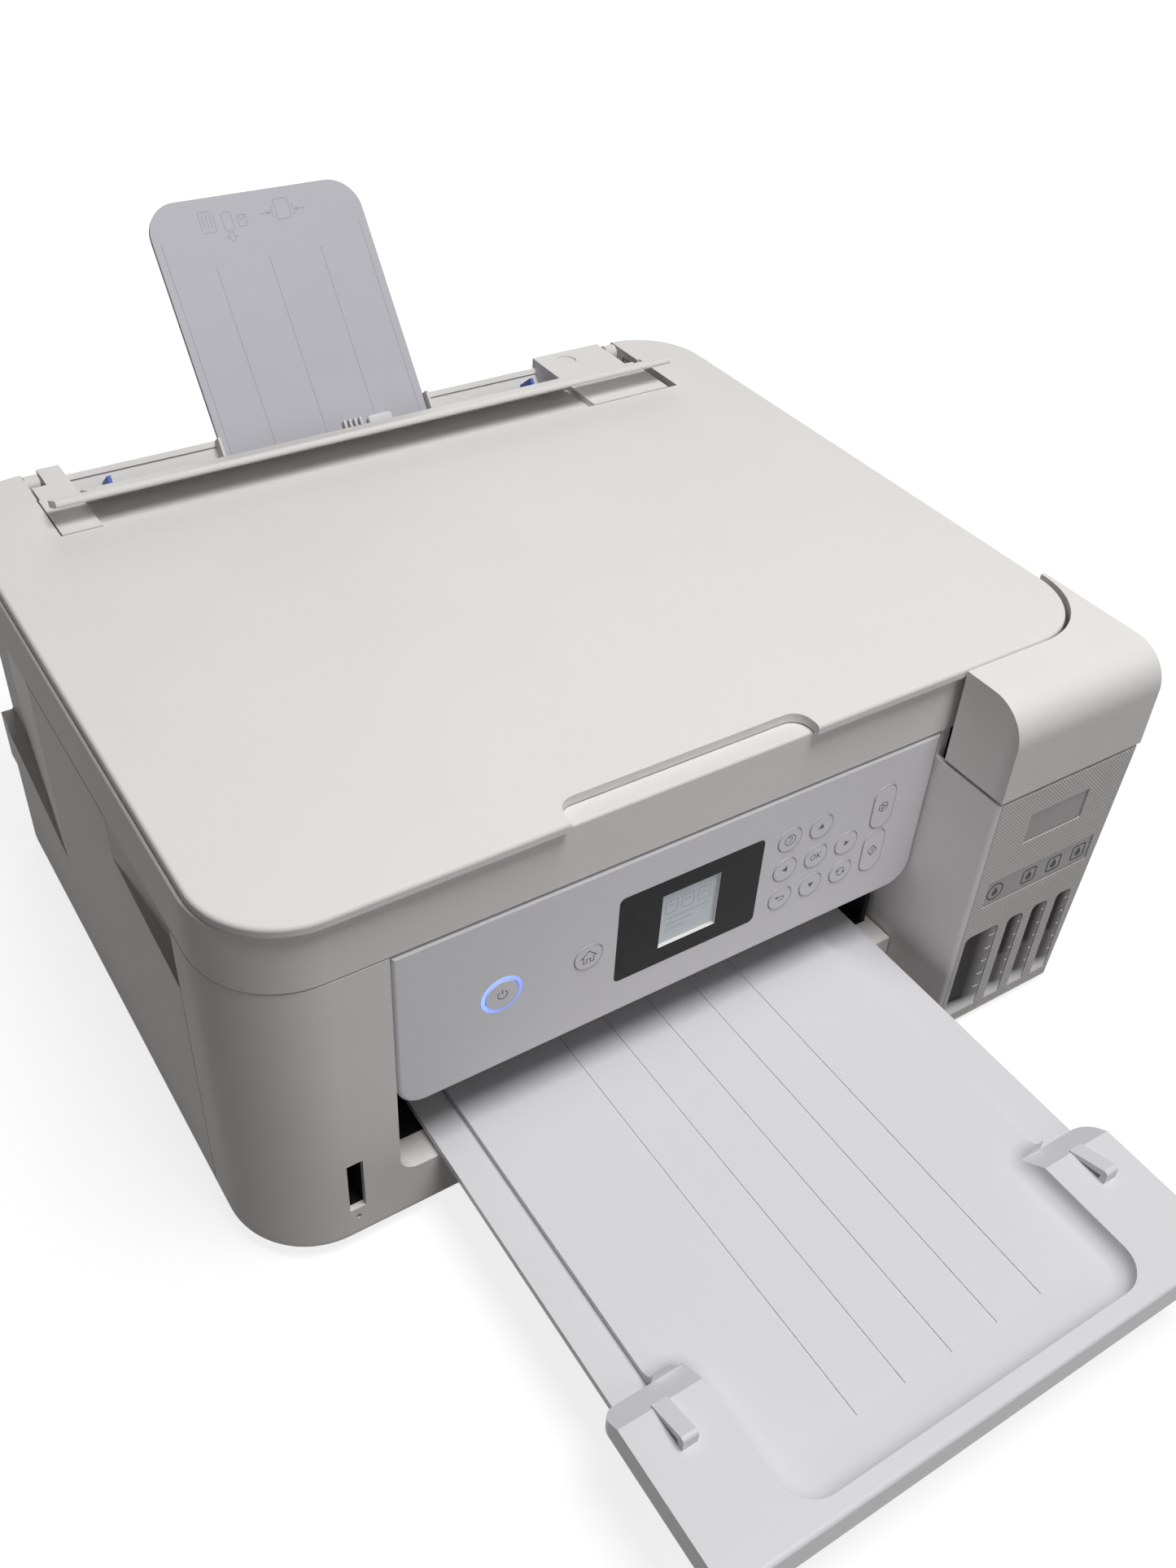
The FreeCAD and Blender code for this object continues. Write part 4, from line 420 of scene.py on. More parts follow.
def lit(name, tint, plastic, strength, middle, radius):
    """A light guide that glows most at its upper left and fades towards its lower right."""
    made = Finish(name)
    rise = made.maths("SUBTRACT", made.axis("Z"), made.axis("X"))
    level = middle[1] - middle[0]
    glow = made.spread(rise, low=strength * 0.3, high=strength, start=level - radius, end=level + radius)
    uneven = made.spread(made.noise(90.0, detail=1.0), low=0.9, high=1.1)
    made.feed("Emission Strength", made.maths("MULTIPLY", glow, uneven))
    made.put("Emission Color", (*tint, 1))
    made.put("Base Color", (*plastic, 1))
    made.put("Roughness", 0.35)
    return made.material


def clear(name, tint, roughness):
    """Flat clear glass with a slight tint."""
    made = Finish(name)
    made.put("Base Color", (*tint, 1))
    made.feed("Roughness", made.spread(made.noise(50.0), low=roughness, high=roughness + 0.03))
    made.put("Transmission Weight", 0.9)
    made.put("IOR", 1.5)
    return made.material


def smoked(name, tint, ink, level):
    """Smoky tank plastic, dark with ink up to a level and clearing above it, with fine upright flow lines."""
    made = Finish(name)
    wet = made.spread(made.axis("Z"), low=1, high=0, start=level - 0.002, end=level + 0.002)
    flow = made.noise(400.0, detail=3.0, vector=made.mapped(scale=(1, 1, 0.05)))
    dry = made.mixed(flow, shade(tint, 0.7), shade(tint, 1.25))
    made.feed("Base Color", made.mixed(wet, dry, ink))
    made.feed("Roughness", made.spread(flow, low=0.18, high=0.3))
    made.put("Coat Weight", 0.4)
    made.put("Coat Roughness", 0.08)
    return made.material


def scooped(name, deep, edge, foot, ink, level):
    """A tank window: dark over the ink and, as painted shade, on its deep side; pale at its flush side as
    painted light, and white at its foot as a painted highlight.
    """
    made = Finish(name)
    across, up = made.sheet("X"), made.sheet("Y")
    flow = made.noise(500.0, detail=3.0, vector=made.mapped(scale=(1, 1, 0.06)))
    wet = made.spread(up, low=1, high=0, start=level - 0.02, end=level + 0.02)
    # Painted shade on the deep side of the window, and the ink below its level
    dark = made.mixed(wet, deep, ink)
    # Painted light towards the flush side
    flush = made.spread(across, low=0, high=1, start=0.5, end=1.0)
    body = made.mixed(flush, dark, made.mixed(flow, shade(edge, 0.85), edge))
    # Painted white highlight at the window's foot
    low = made.spread(up, low=1, high=0, start=0.03, end=0.15)
    made.feed("Base Color", made.mixed(low, body, foot))
    made.feed("Roughness", made.spread(flow, low=0.3, high=0.42))
    made.put("Specular IOR Level", 0.08)
    return made.material


def lacquered(name, tint):
    """Circuit board: green lacquer over faint copper tracks."""
    made = Finish(name)
    tracks = made.maths("MAXIMUM", made.bands(60.0, made.place, "X"), made.bands(45.0, made.place, "Y"))
    ridge = made.spread(tracks, low=0, high=1, start=0.9, end=1.0)
    made.feed("Base Color", made.mixed(ridge, tint, shade(tint, 2.2)))
    made.feed("Roughness", made.spread(made.noise(80.0), low=0.3, high=0.45))
    made.bump(tracks, distance=0.00003)
    return made.material


def make_finishes(scene):
    """One material for each of the record's slots."""
    tints, sizes = settings(scene)
    tank_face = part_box("tank_housing")[0][1]
    low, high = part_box("power_ring")
    ring_middle = (low[0] + high[0]) / 2, (low[2] + high[2]) / 2
    glow = scene.printer_studio.ring
    finishes = {
        # The default dark threads draw the weave and also lay painted shade over the tank front
        "tank_case": woven(
            "woven_white", tints.tank_case, sizes.weave, sizes.weave_depth, tank_face, WEAVE_TOP),
        "display_window": glossy("smoked_window", tints.window, roughness=0.08, cloud=0.1, coat=0.0),
        "display": glossy("silver_display", tints.display, roughness=0.25),
        "ring_light": lit("lit_ring", tints.ring, tints.ring_plastic, glow, ring_middle, RING_RADIUS),
        "bed_glass": clear("bed_glass", tints.glass, roughness=0.02),
        "sheet_steel": brushed("sheet_steel", tints.steel, roughness=0.42),
        "bright_steel": brushed("bright_steel", shade(tints.steel, 1.15), roughness=0.25),
        "board": lacquered("green_board", tints.board),
        "tank": smoked("smoky_tank", tints.tank, tints.ink, INK_LEVEL),
    }
    for slot, (name, tint, roughness, grain, depth, mottle, gloss) in MOULDED.items():
        finishes[slot] = moulded(name, getattr(tints, tint), roughness,
                                 sizes.grain * grain, sizes.grain_depth * depth, mottle, gloss)
    return finishes


# Surfaces

def put_mesh(name, points, faces, finish, body, smooth=False, sheet=None):
    """A piece from points in millimetres, riding on a body; sheet holds a UV place for each point."""
    mesh = bpy.data.meshes.new(name)
    mesh.from_pydata((np.asarray(points) * MM).tolist(), [], faces)
    mesh.validate()
    mesh.polygons.foreach_set("use_smooth", np.full(len(mesh.polygons), smooth))
    if sheet is not None:
        corners = np.zeros(len(mesh.loops), dtype=np.int32)
        mesh.loops.foreach_get("vertex_index", corners)
        mesh.uv_layers.new(name="UVMap").data.foreach_set("uv", np.asarray(sheet)[corners].ravel())
    mesh.materials.append(finish)
    piece = bpy.data.objects.new(name, mesh)
    bpy.context.scene.collection.objects.link(piece)
    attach(piece, body)
    return piece


def turn_outwards(mesh):
    """Point the faces of closed pieces outwards."""
    made = bmesh.new()
    made.from_mesh(mesh)
    bmesh.ops.recalc_face_normals(made, faces=made.faces)
    made.to_mesh(mesh)
    made.free()


def grid_faces(rows, columns):
    """Quads of an open grid whose points are listed row by row."""
    corner = (np.arange(rows - 1)[:, None] * columns + np.arange(columns - 1)[None, :]).reshape(-1)
    return np.stack([corner, corner + 1, corner + columns + 1, corner + columns], axis=1).tolist()


def ring_faces(rings, points, closed):
    """Quads between neighbouring rings of points, and from the last ring to the first if closed."""
    first = np.arange(rings if closed else rings - 1)[:, None] * points
    second = (first + points) % (rings * points)
    here = np.arange(points)[None, :]
    following = (here + 1) % points
    quads = np.stack([first + here, first + following, second + following, second + here], axis=-1)
    return quads.reshape(-1, 4).tolist()


def tube_faces(rings, points):
    """Quads between neighbouring rings of points, and a face over the first ring and over the last."""
    total = rings * points
    ends = [list(range(points)), list(range(total - 1, total - 1 - points, -1))]
    return ring_faces(rings, points, False) + ends


class Print:
    """Printed marks on one flat face, gathered into one mesh.

    A mark's points lie at the middle plus their two flat coordinates along the face's across and up
    directions, and each mark is a thin closed solid that stands proud of the face."""

    def __init__(self, middle, height, up=(0, 0, 1)):
        self.middle, self.height = np.asarray(middle, float), height
        self.across, self.up = np.array([1.0, 0, 0]), np.asarray(up, float)
        self.out = np.cross(self.across, self.up)
        self.points, self.faces = [], []
        self.count = 0

    def add(self, flat, level, faces):
        """flat holds the two flat coordinates, and level how far each point stands proud."""
        spots = self.middle + flat[:, :1] * self.across + flat[:, 1:] * self.up + level[:, None] * self.out
        self.points.append(spots)
        self.faces += [(np.array(face) + self.count).tolist() for face in faces]
        self.count += len(spots)

    def stroke(self, path, width, closed=False):
        """A rectangular profile carried along a flat path, mitred at its corners.

        Each path point gives four points: half the width to each side, along the bisector of its two runs
        and lengthened by one over the cosine of half the turn, at the face and at the print's height."""
        path = np.asarray(path, float)
        before, after = np.roll(path, 1, axis=0), np.roll(path, -1, axis=0)
        if not closed:
            before[0] = 2 * path[0] - path[1]
            after[-1] = 2 * path[-1] - path[-2]
        into = (path - before) / np.linalg.norm(path - before, axis=1, keepdims=True)
        out = (after - path) / np.linalg.norm(after - path, axis=1, keepdims=True)
        normal_in = np.stack([-into[:, 1], into[:, 0]], axis=1)
        normal_out = np.stack([-out[:, 1], out[:, 0]], axis=1)
        bisector = normal_in + normal_out
        bisector /= np.linalg.norm(bisector, axis=1, keepdims=True)
        reach = width / 2 / np.clip((bisector * normal_in).sum(axis=1, keepdims=True), MITRE_LIMIT, 1)
        left, right = path + bisector * reach, path - bisector * reach
        flat = np.stack([left, right, right, left], axis=1).reshape(-1, 2)
        level = np.tile([0.0, 0.0, self.height, self.height], len(path))
        faces = ring_faces(len(path), 4, closed)
        if not closed:
            last = 4 * (len(path) - 1)
            faces += [[3, 2, 1, 0], [last, last + 1, last + 2, last + 3]]
        self.add(flat, level, faces)

    def patch(self, outline):
        """A filled outline: its points at the face and at the print's height, with a side wall between."""
        outline = np.asarray(outline, float)
        count = len(outline)
        level = np.repeat([0.0, self.height], count)
        self.add(np.concatenate([outline, outline]), level, tube_faces(2, count))

    def make(self, name, finish, body):
        """One piece from all the marks so far."""
        piece = put_mesh(name, np.concatenate(self.points), self.faces, finish, body)
        turn_outwards(piece.data)


def arc(radius, start, end, middle=(0.0, 0.0), steps=32, squeeze=1.0):
    """Points on a circle from one angle to another in degrees, anticlockwise, squeezed in x."""
    turn = np.radians(np.linspace(start, end, steps))
    return np.stack([middle[0] + radius * squeeze * np.cos(turn), middle[1] + radius * np.sin(turn)], axis=1)


def circle(radius, middle=(0.0, 0.0), steps=48, squeeze=1.0):
    """Points on a whole circle, squeezed in x, without the last one, which is the first again."""
    return arc(radius, 0, 360, middle, steps + 1, squeeze)[:-1]


def stadium(width, height, steps=24):
    """Outline of an upright capsule: two half circles joined by straight sides."""
    radius, rise = width / 2, (height - width) / 2
    return np.concatenate([arc(radius, 0, 180, (0, rise), steps), arc(radius, 180, 360, (0, -rise), steps)])


def rounded(width, height, radius, steps=8):
    """Outline of a rectangle with round corners: a quarter circle about each inner corner."""
    x, z = width / 2 - radius, height / 2 - radius
    return np.concatenate([arc(radius, 0, 90, (x, z), steps), arc(radius, 90, 180, (-x, z), steps),
                           arc(radius, 180, 270, (-x, -z), steps), arc(radius, 270, 360, (x, -z), steps)])


def spun(points, degrees):
    """Flat points turned anticlockwise about the origin, by the sine and cosine of the angle."""
    angle = math.radians(degrees)
    turn = np.array([[math.cos(angle), math.sin(angle)], [-math.sin(angle), math.cos(angle)]])
    return np.asarray(points, float) @ turn


def arrow_head(size):
    """Outline of a triangle that points up."""
    return np.array([[0, 0.62 * size], [-0.55 * size, -0.38 * size], [0.55 * size, -0.38 * size]])


# Button marks: each draws one generic symbol, in millimetres about the button's middle

def mark_power(ink, width):
    """A circle open at its top, with an upright line in the opening."""
    ink.stroke(arc(1.9, 125, 415), width)
    ink.stroke([(0, 0.5), (0, 2.6)], width)


def mark_home(ink, width):
    """A house with a doorway: its right half, and the same mirrored."""
    half = [(0, 3.0), (3.3, 0.1), (2.2, 0.1), (2.2, -2.7), (0.8, -2.7), (0.8, -0.9)]
    other = [(-x, z) for x, z in reversed(half[1:])]
    ink.stroke(half + other, width, closed=True)


def mark_help(ink, width):
    """A question mark in a circle: an arc that runs into a short line, over a dot."""
    ink.stroke(circle(2.5), width, closed=True)
    hook = arc(0.85, 170, -60, (0, 0.6), 14)
    ink.stroke(np.concatenate([hook, [(0.05, -0.35), (0.05, -0.7)]]), width)
    ink.patch(circle(0.26, (0.05, -1.35), 12))


def mark_ok(ink, width):
    """An oval, an upright line and two arms that meet at it."""
    ink.stroke(circle(1.45, (-1.45, 0), 28, 0.82), width, closed=True)
    ink.stroke([(0.65, -1.45), (0.65, 1.45)], width)
    ink.stroke([(2.3, 1.45), (0.85, 0.0), (2.4, -1.45)], width)


def mark_back(ink, width):
    """A line that turns back through a half circle, with an arrow head at its upper end."""
    ink.stroke(np.concatenate([[(-1.7, 0.8)], arc(0.95, 90, -90, (0.8, -0.15), 14), [(-0.9, -1.1)]]), width)
    ink.patch(spun(arrow_head(1.5), 90) + (-1.9, 0.8))


def mark_rotate(ink, width):
    """Two arcs that chase each other, each with an arrow head."""
    for turn in (0, 180):
        ink.stroke(spun(arc(1.9, 20, 150, steps=16), turn), width)
        ink.patch(spun(spun(arrow_head(1.5), 155) + (-1.75, 0.55), turn))


def mark_stop(ink, width):
    """A triangle in a circle."""
    ink.stroke(circle(2.2), width, closed=True)
    ink.stroke(circle(1.35, steps=3), width, closed=True)


def mark_start(ink, width):
    """A square on its corner, with an upright line in it."""
    ink.stroke([(0, 2.6), (2.3, 0), (0, -2.6), (-2.3, 0)], width, closed=True)
    ink.stroke([(0, 1.1), (0, -1.1)], width)


def mark_arrow(turn):
    """A filled triangle, turned from pointing up."""
    def draw(ink, width):
        ink.patch(spun(arrow_head(2.6), turn))
    return draw


BUTTON_MARKS = {
    "power_button": mark_power,
    "home_button": mark_home,
    "help_button": mark_help,
    "ok_button": mark_ok,
    "back_button": mark_back,
    "rotate_button": mark_rotate,
    "stop_button": mark_stop,
    "start_button": mark_start,
    "up_button": mark_arrow(0),
    "left_button": mark_arrow(90),
    "down_button": mark_arrow(180),
    "right_button": mark_arrow(270),
}


# Operators

class PRINTER_OT_finishes(bpy.types.Operator):
    """Give every CAD piece the finish of its slot, or its own"""
    bl_idname = "printer.finishes"
    bl_label = "Finish the pieces"

    def execute(self, context):
        finishes = make_finishes(context.scene)
        tints, sizes = settings(context.scene)
        blue = moulded("guide_blue", tints.guide, roughness=0.45, grain=FINE_GRAIN, depth=FINE_DEPTH)
        lid_face, lid_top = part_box("tank_lid")[0][1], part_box("tank_lid")[1][2]
        lid = woven("woven_lid", tints.case, sizes.weave, sizes.weave_depth * 0.5, lid_face, lid_top,
                    thread=0.78, fade=0.006)
        own = {"edge_guide_left": blue, "edge_guide_right": blue, "tank_lid": lid}
        for name, piece in NODES.items():
            piece.data.materials.clear()
            piece.data.materials.append(own.get(name, finishes[SLOT_OF[name]]))
        return {"FINISHED"}


class PRINTER_OT_button_marks(bpy.types.Operator):
    """Print the outline and the sign on each button"""
    bl_idname = "printer.button_marks"
    bl_label = "Button marks"

    def execute(self, context):
        tints, sizes = settings(context.scene)
        height, outline, stroke = sizes.print_height / MM, sizes.outline / MM, sizes.stroke / MM
        sign_finish = glossy("printed_grey", tints.mark, roughness=0.5)
        line_finish = glossy("outline_grey", tints.outline, roughness=0.5)
        for name, draw in BUTTON_MARKS.items():
            low, high = node_box(name)
            middle = front_middle(low, high)
            sign = Print(middle, height)
            draw(sign, stroke)
            sign.make(name + "_sign", sign_finish, name)
            if name == "power_button":
                continue
            edge = 2 * CAPSULE_FLANGES.get(name, BUTTON_FLANGE) + outline
            width, tall = high[0] - low[0] - edge, high[2] - low[2] - edge
            line = Print(middle, height)
            path = stadium(width, tall) if tall > width + 1 else circle(width / 2, steps=64)
            line.stroke(path, outline, closed=True)
            line.make(name + "_outline", line_finish, name)
        return {"FINISHED"}


class PRINTER_OT_display(bpy.types.Operator):
    """Line the display's recess and draw plain boxes and lines on it"""
    bl_idname = "printer.display"
    bl_label = "Display"

    def execute(self, context):
        tints, sizes = settings(context.scene)
        low, high = node_box("lcd_screen")
        self.make_lining(low, high, node_box("lcd_window")[0][1], tints.case)
        width = sizes.fine_stroke / MM
        drawn = Print(front_middle(low, high), sizes.print_height / MM)
        for x in DISPLAY_BOXES:
            drawn.stroke(rounded(5.4, 6.4, 0.8) + (x, 4.6), width, closed=True)
            drawn.stroke([(x - 1.5, 5.2), (x + 1.5, 5.2)], width)
        for ends in DISPLAY_LINES:
            drawn.stroke(ends, width)
        finish = glossy("display_grey", tints.screen_line, roughness=0.4)
        drawn.make("display_lines", finish, "panel")
        return {"FINISHED"}

    def make_lining(self, low, high, face, tint):
        """Four walls round the display: its outline carried straight from the window's face back to it."""
        left, right = low[0] + LINING_INSET, high[0] - LINING_INSET
        foot, head = low[2] + LINING_INSET, high[2] - LINING_INSET
        outline = np.array([(left, foot), (right, foot), (right, head), (left, head)])
        depth = np.repeat([face + LINING_SETBACK, low[1]], 4)
        flat = np.tile(outline, (2, 1))
        points = np.stack([flat[:, 0], depth, flat[:, 1]], axis=1)
        finish = moulded("display_lining", tint, roughness=0.4, grain=FINE_GRAIN, depth=LINING_DEPTH)
        put_mesh("display_lining", points, ring_faces(2, 4, False), finish, "panel")


class PRINTER_OT_tank_windows(bpy.types.Operator):
    """Scoop the four tank windows and give each its level marks"""
    bl_idname = "printer.tank_windows"
    bl_label = "Tank windows"

    def execute(self, context):
        tints, sizes = settings(context.scene)
        face = node_box("tank_housing")[0][1]
        mark_finish = glossy("level_mark", shade(tints.tray, 0.95), roughness=0.4)
        for tint, (left, right) in zip(TANKS, WINDOW_SPANS):
            ink, level = shade(tints.scoop_edge, 0.28), COLOUR_SHARE
            if tint == "black":
                ink, level = tints.ink, BLACK_SHARE
            # Each window gets painted shade on its deep side, and painted light at its flush side and its
            # foot
            finish = scooped("window_" + tint, tints.scoop, tints.scoop_edge, tints.scoop_foot_painted_light, ink, level)
            self.make_scoop("tank_window_" + tint, left, right, face, sizes.scoop / MM, finish)
            marks = Print((right, face + LEVEL_MARK_DEPTH, WINDOW_LOW), LEVEL_MARK_HEIGHT)
            start, end = -LEVEL_MARK_SHARE * (right - left), -LEVEL_MARK_GAP
            for height in LEVEL_MARKS:
                marks.stroke([(start, height), (end, height)], LEVEL_MARK_WIDTH)
            marks.make("level_marks_" + tint, mark_finish, "body")
        return {"FINISHED"}

    def make_scoop(self, name, left, right, face, reach, finish):
        """Depth behind the face over the window: a small setback, plus the reach times a smooth fall from
        the left edge to the right, times a smooth rise from the window's foot."""
        across, up = np.meshgrid(np.linspace(0, 1, 20), np.linspace(0, 1, 64))
        climb = np.clip((up - SCOOP_FOOT) / SCOOP_RISE, 0, 1)
        fall = 1 - across ** 2 * (3 - 2 * across)
        depth = SCOOP_SETBACK + reach * fall * climb ** 2 * (3 - 2 * climb)
        x = left + WINDOW_GAP + across * (right - left - 2 * WINDOW_GAP)
        z = WINDOW_LOW + WINDOW_GAP + up * (WINDOW_HIGH - WINDOW_LOW - 2 * WINDOW_GAP)
        points = np.stack([x, face + depth, z], axis=-1).reshape(-1, 3)
        sheet = np.stack([across, up], axis=-1).reshape(-1, 2)
        put_mesh(name, points, grid_faces(*across.shape), finish, "body", smooth=True, sheet=sheet)


class PRINTER_OT_tank_marks(bpy.types.Operator):
    """Fill the bare plate and the strip, and print one mark above each tank window"""
    bl_idname = "printer.tank_marks"
    bl_label = "Tank marks"

    def execute(self, context):
        tints, sizes = settings(context.scene)
        face = node_box("tank_housing")[0][1]
        label_finish = glossy("label_grey", tints.label, roughness=0.34)
        for name, (left, right, low, high, depth) in LABELS.items():
            label = Print(((left + right) / 2, face + depth, (low + high) / 2), LABEL_HEIGHT)
            label.patch(rounded(right - left - LABEL_GAP, high - low - LABEL_GAP, LABEL_CORNER))
            label.make(name, label_finish, "body")
        ink_finish = glossy("tank_mark_grey", shade(tints.mark, 0.6), roughness=0.5, coat=0.0)
        low, high, depth = LABELS["tank_strip"][2:]
        for tint, (start, end) in zip(TANKS, WINDOW_SPANS):
            middle = ((start + end) / 2, face + depth - LABEL_HEIGHT, (low + high) / 2)
            ink = Print(middle, sizes.print_height / MM)
            frame_line = circle(4.2) if tint == "black" else rounded(7.4, 7.4, 1.2)
            ink.stroke(frame_line, TANK_MARK_WIDTH, closed=True)
            ink.patch(np.concatenate([arc(1.7, 150, 390, (0, -0.7), 20), [(0, 2.6)]]))
            ink.make("tank_mark_" + tint, ink_finish, "body")
        return {"FINISHED"}


class PRINTER_OT_support_marks(bpy.types.Operator):
    """Draw guide lines and plain paper signs on the front of the paper support: thin raised strokes, darker
    than it as painted shade of pressed grooves
    """
    bl_idname = "printer.support_marks"
    bl_label = "Support marks"

    def execute(self, context):
        tints, sizes = settings(context.scene)
        width = sizes.fine_stroke / MM
        lines = Print(SLOPE_TOP, sizes.print_height / MM, SLOPE_UP)
        for x, top in SUPPORT_LINES:
            lines.stroke([(x, SUPPORT_LINE_FOOT), (x, top)], width)
        self.draw_stack(lines, np.array(STACK_SIGN), width)
        self.draw_sheet(lines, np.array(SHEET_SIGN), width)
        # The lines' darker grey is painted shade of pressed grooves
        finish = moulded("support_line", tints.emboss, roughness=0.5, grain=sizes.grain,
                         depth=sizes.grain_depth, mottle=0.03)
        lines.make("support_marks", finish, "support")
        return {"FINISHED"}

    def draw_stack(self, lines, lined, width):
        """A lined sheet, a plain sheet with an arrow down, and a folded card."""
        plain, card = lined + (9.5, -1.0), lined + (16.5, -1.5)
        lines.stroke(rounded(6.6, 9.6, 0.7) + lined, width, closed=True)
        for x in (-1.8, 0.0, 1.8):
            lines.stroke([lined + (x, -2.6), lined + (x, 3.0)], width)
        lines.stroke(rounded(4.6, 8.6, 1.2) + plain, width, closed=True)
        arrow = [(-1.1, 0), (-1.1, -1.6), (-2.6, -1.6), (0, -4.2), (2.6, -1.6), (1.1, -1.6), (1.1, 0)]
        lines.stroke(np.array(arrow) + plain + (0, -5.2), width, closed=True)
        lines.stroke(rounded(4.2, 5.2, 0.5) + card, width, closed=True)
        lines.stroke([card + (-2.0, 2.4), card, card + (2.0, 2.4)], width)

    def draw_sheet(self, lines, middle, width):
        """A sheet between two stops, with an arrow from each side."""
        lines.stroke(rounded(6.8, 9.4, 0.4) + middle, width, closed=True)
        stop = np.array([(4.4, -3.2), (5.4, -3.2), (5.4, 1.2), (4.4, 1.2)])
        shaft = np.array([(11.0, -1.0), (7.2, -1.0)])
        for side in (-1, 1):
            lines.stroke(stop * (side, 1) + middle, width)
            lines.stroke(shaft * (side, 1) + middle, width)
            lines.patch(spun(arrow_head(1.6), 90 * side) + middle + (6.8 * side, -1.0))


class PRINTER_OT_slider(bpy.types.Operator):
    """Set the fins and the block of the paper slider in front of the support"""
    bl_idname = "printer.slider"
    bl_label = "Paper slider"

    def execute(self, context):
        tints, sizes = settings(context.scene)
        finish = moulded(
            "slider_white", tints.tray, roughness=0.4, grain=sizes.grain, depth=sizes.grain_depth)
        for number, middle in enumerate(FINS, start=1):
            self.make_bar(f"slider_fin_{number}", middle, sizes.fin / MM, FIN_DEPTH, FIN_TOP, finish)
        self.make_bar("slider_block", BLOCK_MIDDLE, BLOCK_WIDTH, BLOCK_DEPTH, BLOCK_TOP, finish)
        return {"FINISHED"}

    def make_bar(self, name, middle, width, depth, top, finish):
        """A bar that stands up the slope, its section a superellipse: half the width times the cosine to the
        power of a third, and half the depth times the sine to that power. Over a dome half as high as the
        depth, the section shrinks with the square root of the cosine while the height grows with the sine."""
        turn = np.linspace(0, 2 * np.pi, 32, endpoint=False)
        ring = np.stack([np.cbrt(np.cos(turn)) * width / 2, np.cbrt(np.sin(turn)) * depth / 2], axis=1)
        dome = np.linspace(0, DOME_END, 8)
        height = np.concatenate([[top - BAR_LENGTH], top - depth / 2 + depth / 2 * np.sin(dome)])
        scale = np.concatenate([[1.0], np.sqrt(np.cos(dome))])
        flat = ring[None] * scale[:, None, None]
        out = np.cross((1, 0, 0), SLOPE_UP)
        points = (SLOPE_TOP + (flat[..., :1] + middle) * (1, 0, 0) + height[:, None, None] * SLOPE_UP
                  + (flat[..., 1:] + depth / 2 + BAR_SETBACK) * out).reshape(-1, 3)
        faces = tube_faces(len(height), len(ring))
        piece = put_mesh(name, points, faces, finish, "body", smooth=True)
        turn_outwards(piece.data)


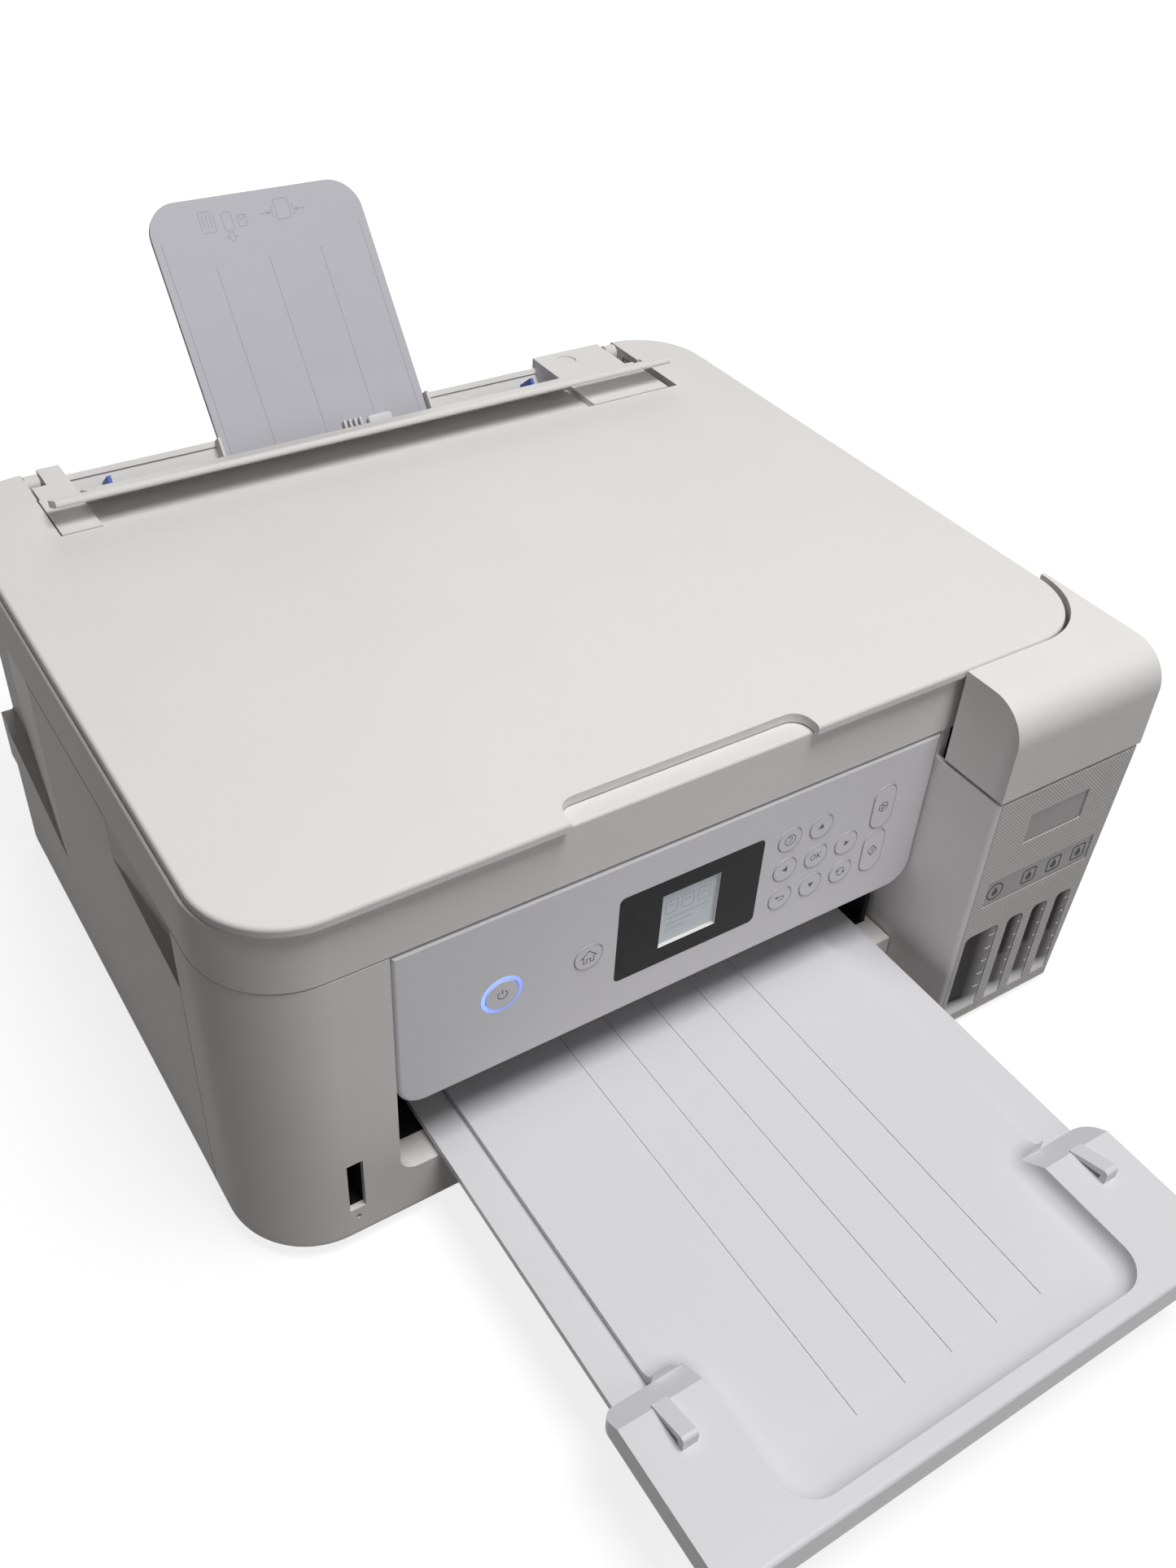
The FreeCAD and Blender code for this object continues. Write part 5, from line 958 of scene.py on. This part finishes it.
class PRINTER_OT_stage(bpy.types.Operator):
    """Set the floor, the lights and the camera"""
    bl_idname = "printer.stage"
    bl_label = "Stage"

    def execute(self, context):
        scene, studio = context.scene, context.scene.printer_studio
        self.make_floor(scene.printer_colours.floor)
        for name, (place, target, size) in LAMPS.items():
            self.make_lamp(name, getattr(studio, name), place, target, size)
        self.make_sky(scene, studio.sky)
        self.make_camera(scene, studio)
        scene.view_settings.view_transform = "Standard"
        return {"FINISHED"}

    def make_floor(self, tint):
        """A square, flat at z = 0, large enough to have no edge in view."""
        mesh = bpy.data.meshes.new("floor")
        side = FLOOR_HALF
        corners = [(-side, -side, 0), (side, -side, 0), (side, side, 0), (-side, side, 0)]
        mesh.from_pydata(corners, [], [(0, 1, 2, 3)])
        made = Finish("pale_floor")
        made.feed("Base Color", made.mixed(made.noise(3.0), shade(tint, 0.98), tint))
        made.put("Roughness", 0.9)
        # Seen by the camera and in reflections, the floor glows to white, fully so far from the object
        span = made.add("VectorMath", {0: made.place})
        span.operation = "LENGTH"
        glow = made.spread(span.outputs["Value"], FLOOR_GLOW_NEAR, FLOOR_GLOW_FAR, FLOOR_NEAR, FLOOR_FAR)
        made.feed("Emission Strength", made.maths("MULTIPLY", seen_rays(made.tree), glow))
        made.put("Emission Color", (1, 1, 1, 1))
        mesh.materials.append(made.material)
        floor = bpy.data.objects.new("floor", mesh)
        bpy.context.scene.collection.objects.link(floor)

    def make_lamp(self, name, energy, place, target, size):
        """A square lamp that looks from its place to its target."""
        data = bpy.data.lights.new(name, "AREA")
        data.energy = energy
        data.size = size
        lamp = bpy.data.objects.new(name, data)
        lamp.location = place
        lamp.rotation_euler = (Vector(target) - Vector(place)).to_track_quat("-Z", "Y").to_euler()
        bpy.context.scene.collection.objects.link(lamp)

    def make_sky(self, scene, strength):
        """Even light all round, and plain white where the camera or a reflection looks past the object."""
        world = bpy.data.worlds.new("studio")
        world.use_nodes = True
        nodes, links = world.node_tree.nodes, world.node_tree.links
        nodes.clear()
        level = nodes.new("ShaderNodeMapRange")
        level.inputs["To Min"].default_value = strength
        level.inputs["To Max"].default_value = 1.0
        links.new(seen_rays(world.node_tree), level.inputs["Value"])
        background = nodes.new("ShaderNodeBackground")
        background.inputs["Color"].default_value = (1, 1, 1, 1)
        links.new(level.outputs["Result"], background.inputs["Strength"])
        output = nodes.new("ShaderNodeOutputWorld")
        links.new(background.outputs["Background"], output.inputs["Surface"])
        scene.world = world

    def make_camera(self, scene, studio):
        """A camera whose right and up directions are given; it looks against their cross product."""
        data = bpy.data.cameras.new("photo_view")
        data.sensor_width = SENSOR_WIDTH
        data.lens = studio.lens
        data.clip_start, data.clip_end = CLIP_START, CLIP_END
        camera = bpy.data.objects.new("photo_view", data)
        right, up = Vector(studio.camera_right).normalized(), Vector(studio.camera_up).normalized()
        back = right.cross(up)
        camera.matrix_world = Matrix((
            (right.x, up.x, back.x, studio.camera_place[0]),
            (right.y, up.y, back.y, studio.camera_place[1]),
            (right.z, up.z, back.z, studio.camera_place[2]),
            (0, 0, 0, 1),
        ))
        scene.collection.objects.link(camera)
        scene.camera = camera


OPERATORS = (PRINTER_OT_finishes, PRINTER_OT_button_marks, PRINTER_OT_display, PRINTER_OT_tank_windows,
             PRINTER_OT_tank_marks, PRINTER_OT_support_marks, PRINTER_OT_slider, PRINTER_OT_stage)


class PRINTER_PT_panel(bpy.types.Panel):
    """Lists the printer's operators"""
    bl_idname = "PRINTER_PT_panel"
    bl_label = "Inkjet printer"
    bl_space_type = "VIEW_3D"
    bl_region_type = "UI"
    bl_category = "Printer"

    def draw(self, context):
        for operator in OPERATORS:
            self.layout.operator(operator.bl_idname)


GROUPS = {"printer_colours": PrinterColours, "printer_sizes": PrinterSizes, "printer_studio": StudioSettings}


def register():
    for group in GROUPS.values():
        bpy.utils.register_class(group)
    for name, group in GROUPS.items():
        setattr(bpy.types.Scene, name, PointerProperty(type=group))
    for operator in OPERATORS:
        bpy.utils.register_class(operator)
    bpy.utils.register_class(PRINTER_PT_panel)


def unregister():
    bpy.utils.unregister_class(PRINTER_PT_panel)
    for operator in reversed(OPERATORS):
        bpy.utils.unregister_class(operator)
    for name in GROUPS:
        delattr(bpy.types.Scene, name)
    for group in reversed(list(GROUPS.values())):
        bpy.utils.unregister_class(group)


def main():
    register()
    bpy.ops.printer.finishes()
    bpy.ops.printer.button_marks()
    bpy.ops.printer.display()
    bpy.ops.printer.tank_windows()
    bpy.ops.printer.tank_marks()
    bpy.ops.printer.support_marks()
    bpy.ops.printer.slider()
    bpy.ops.printer.stage()


if __name__ == "__main__":
    main()
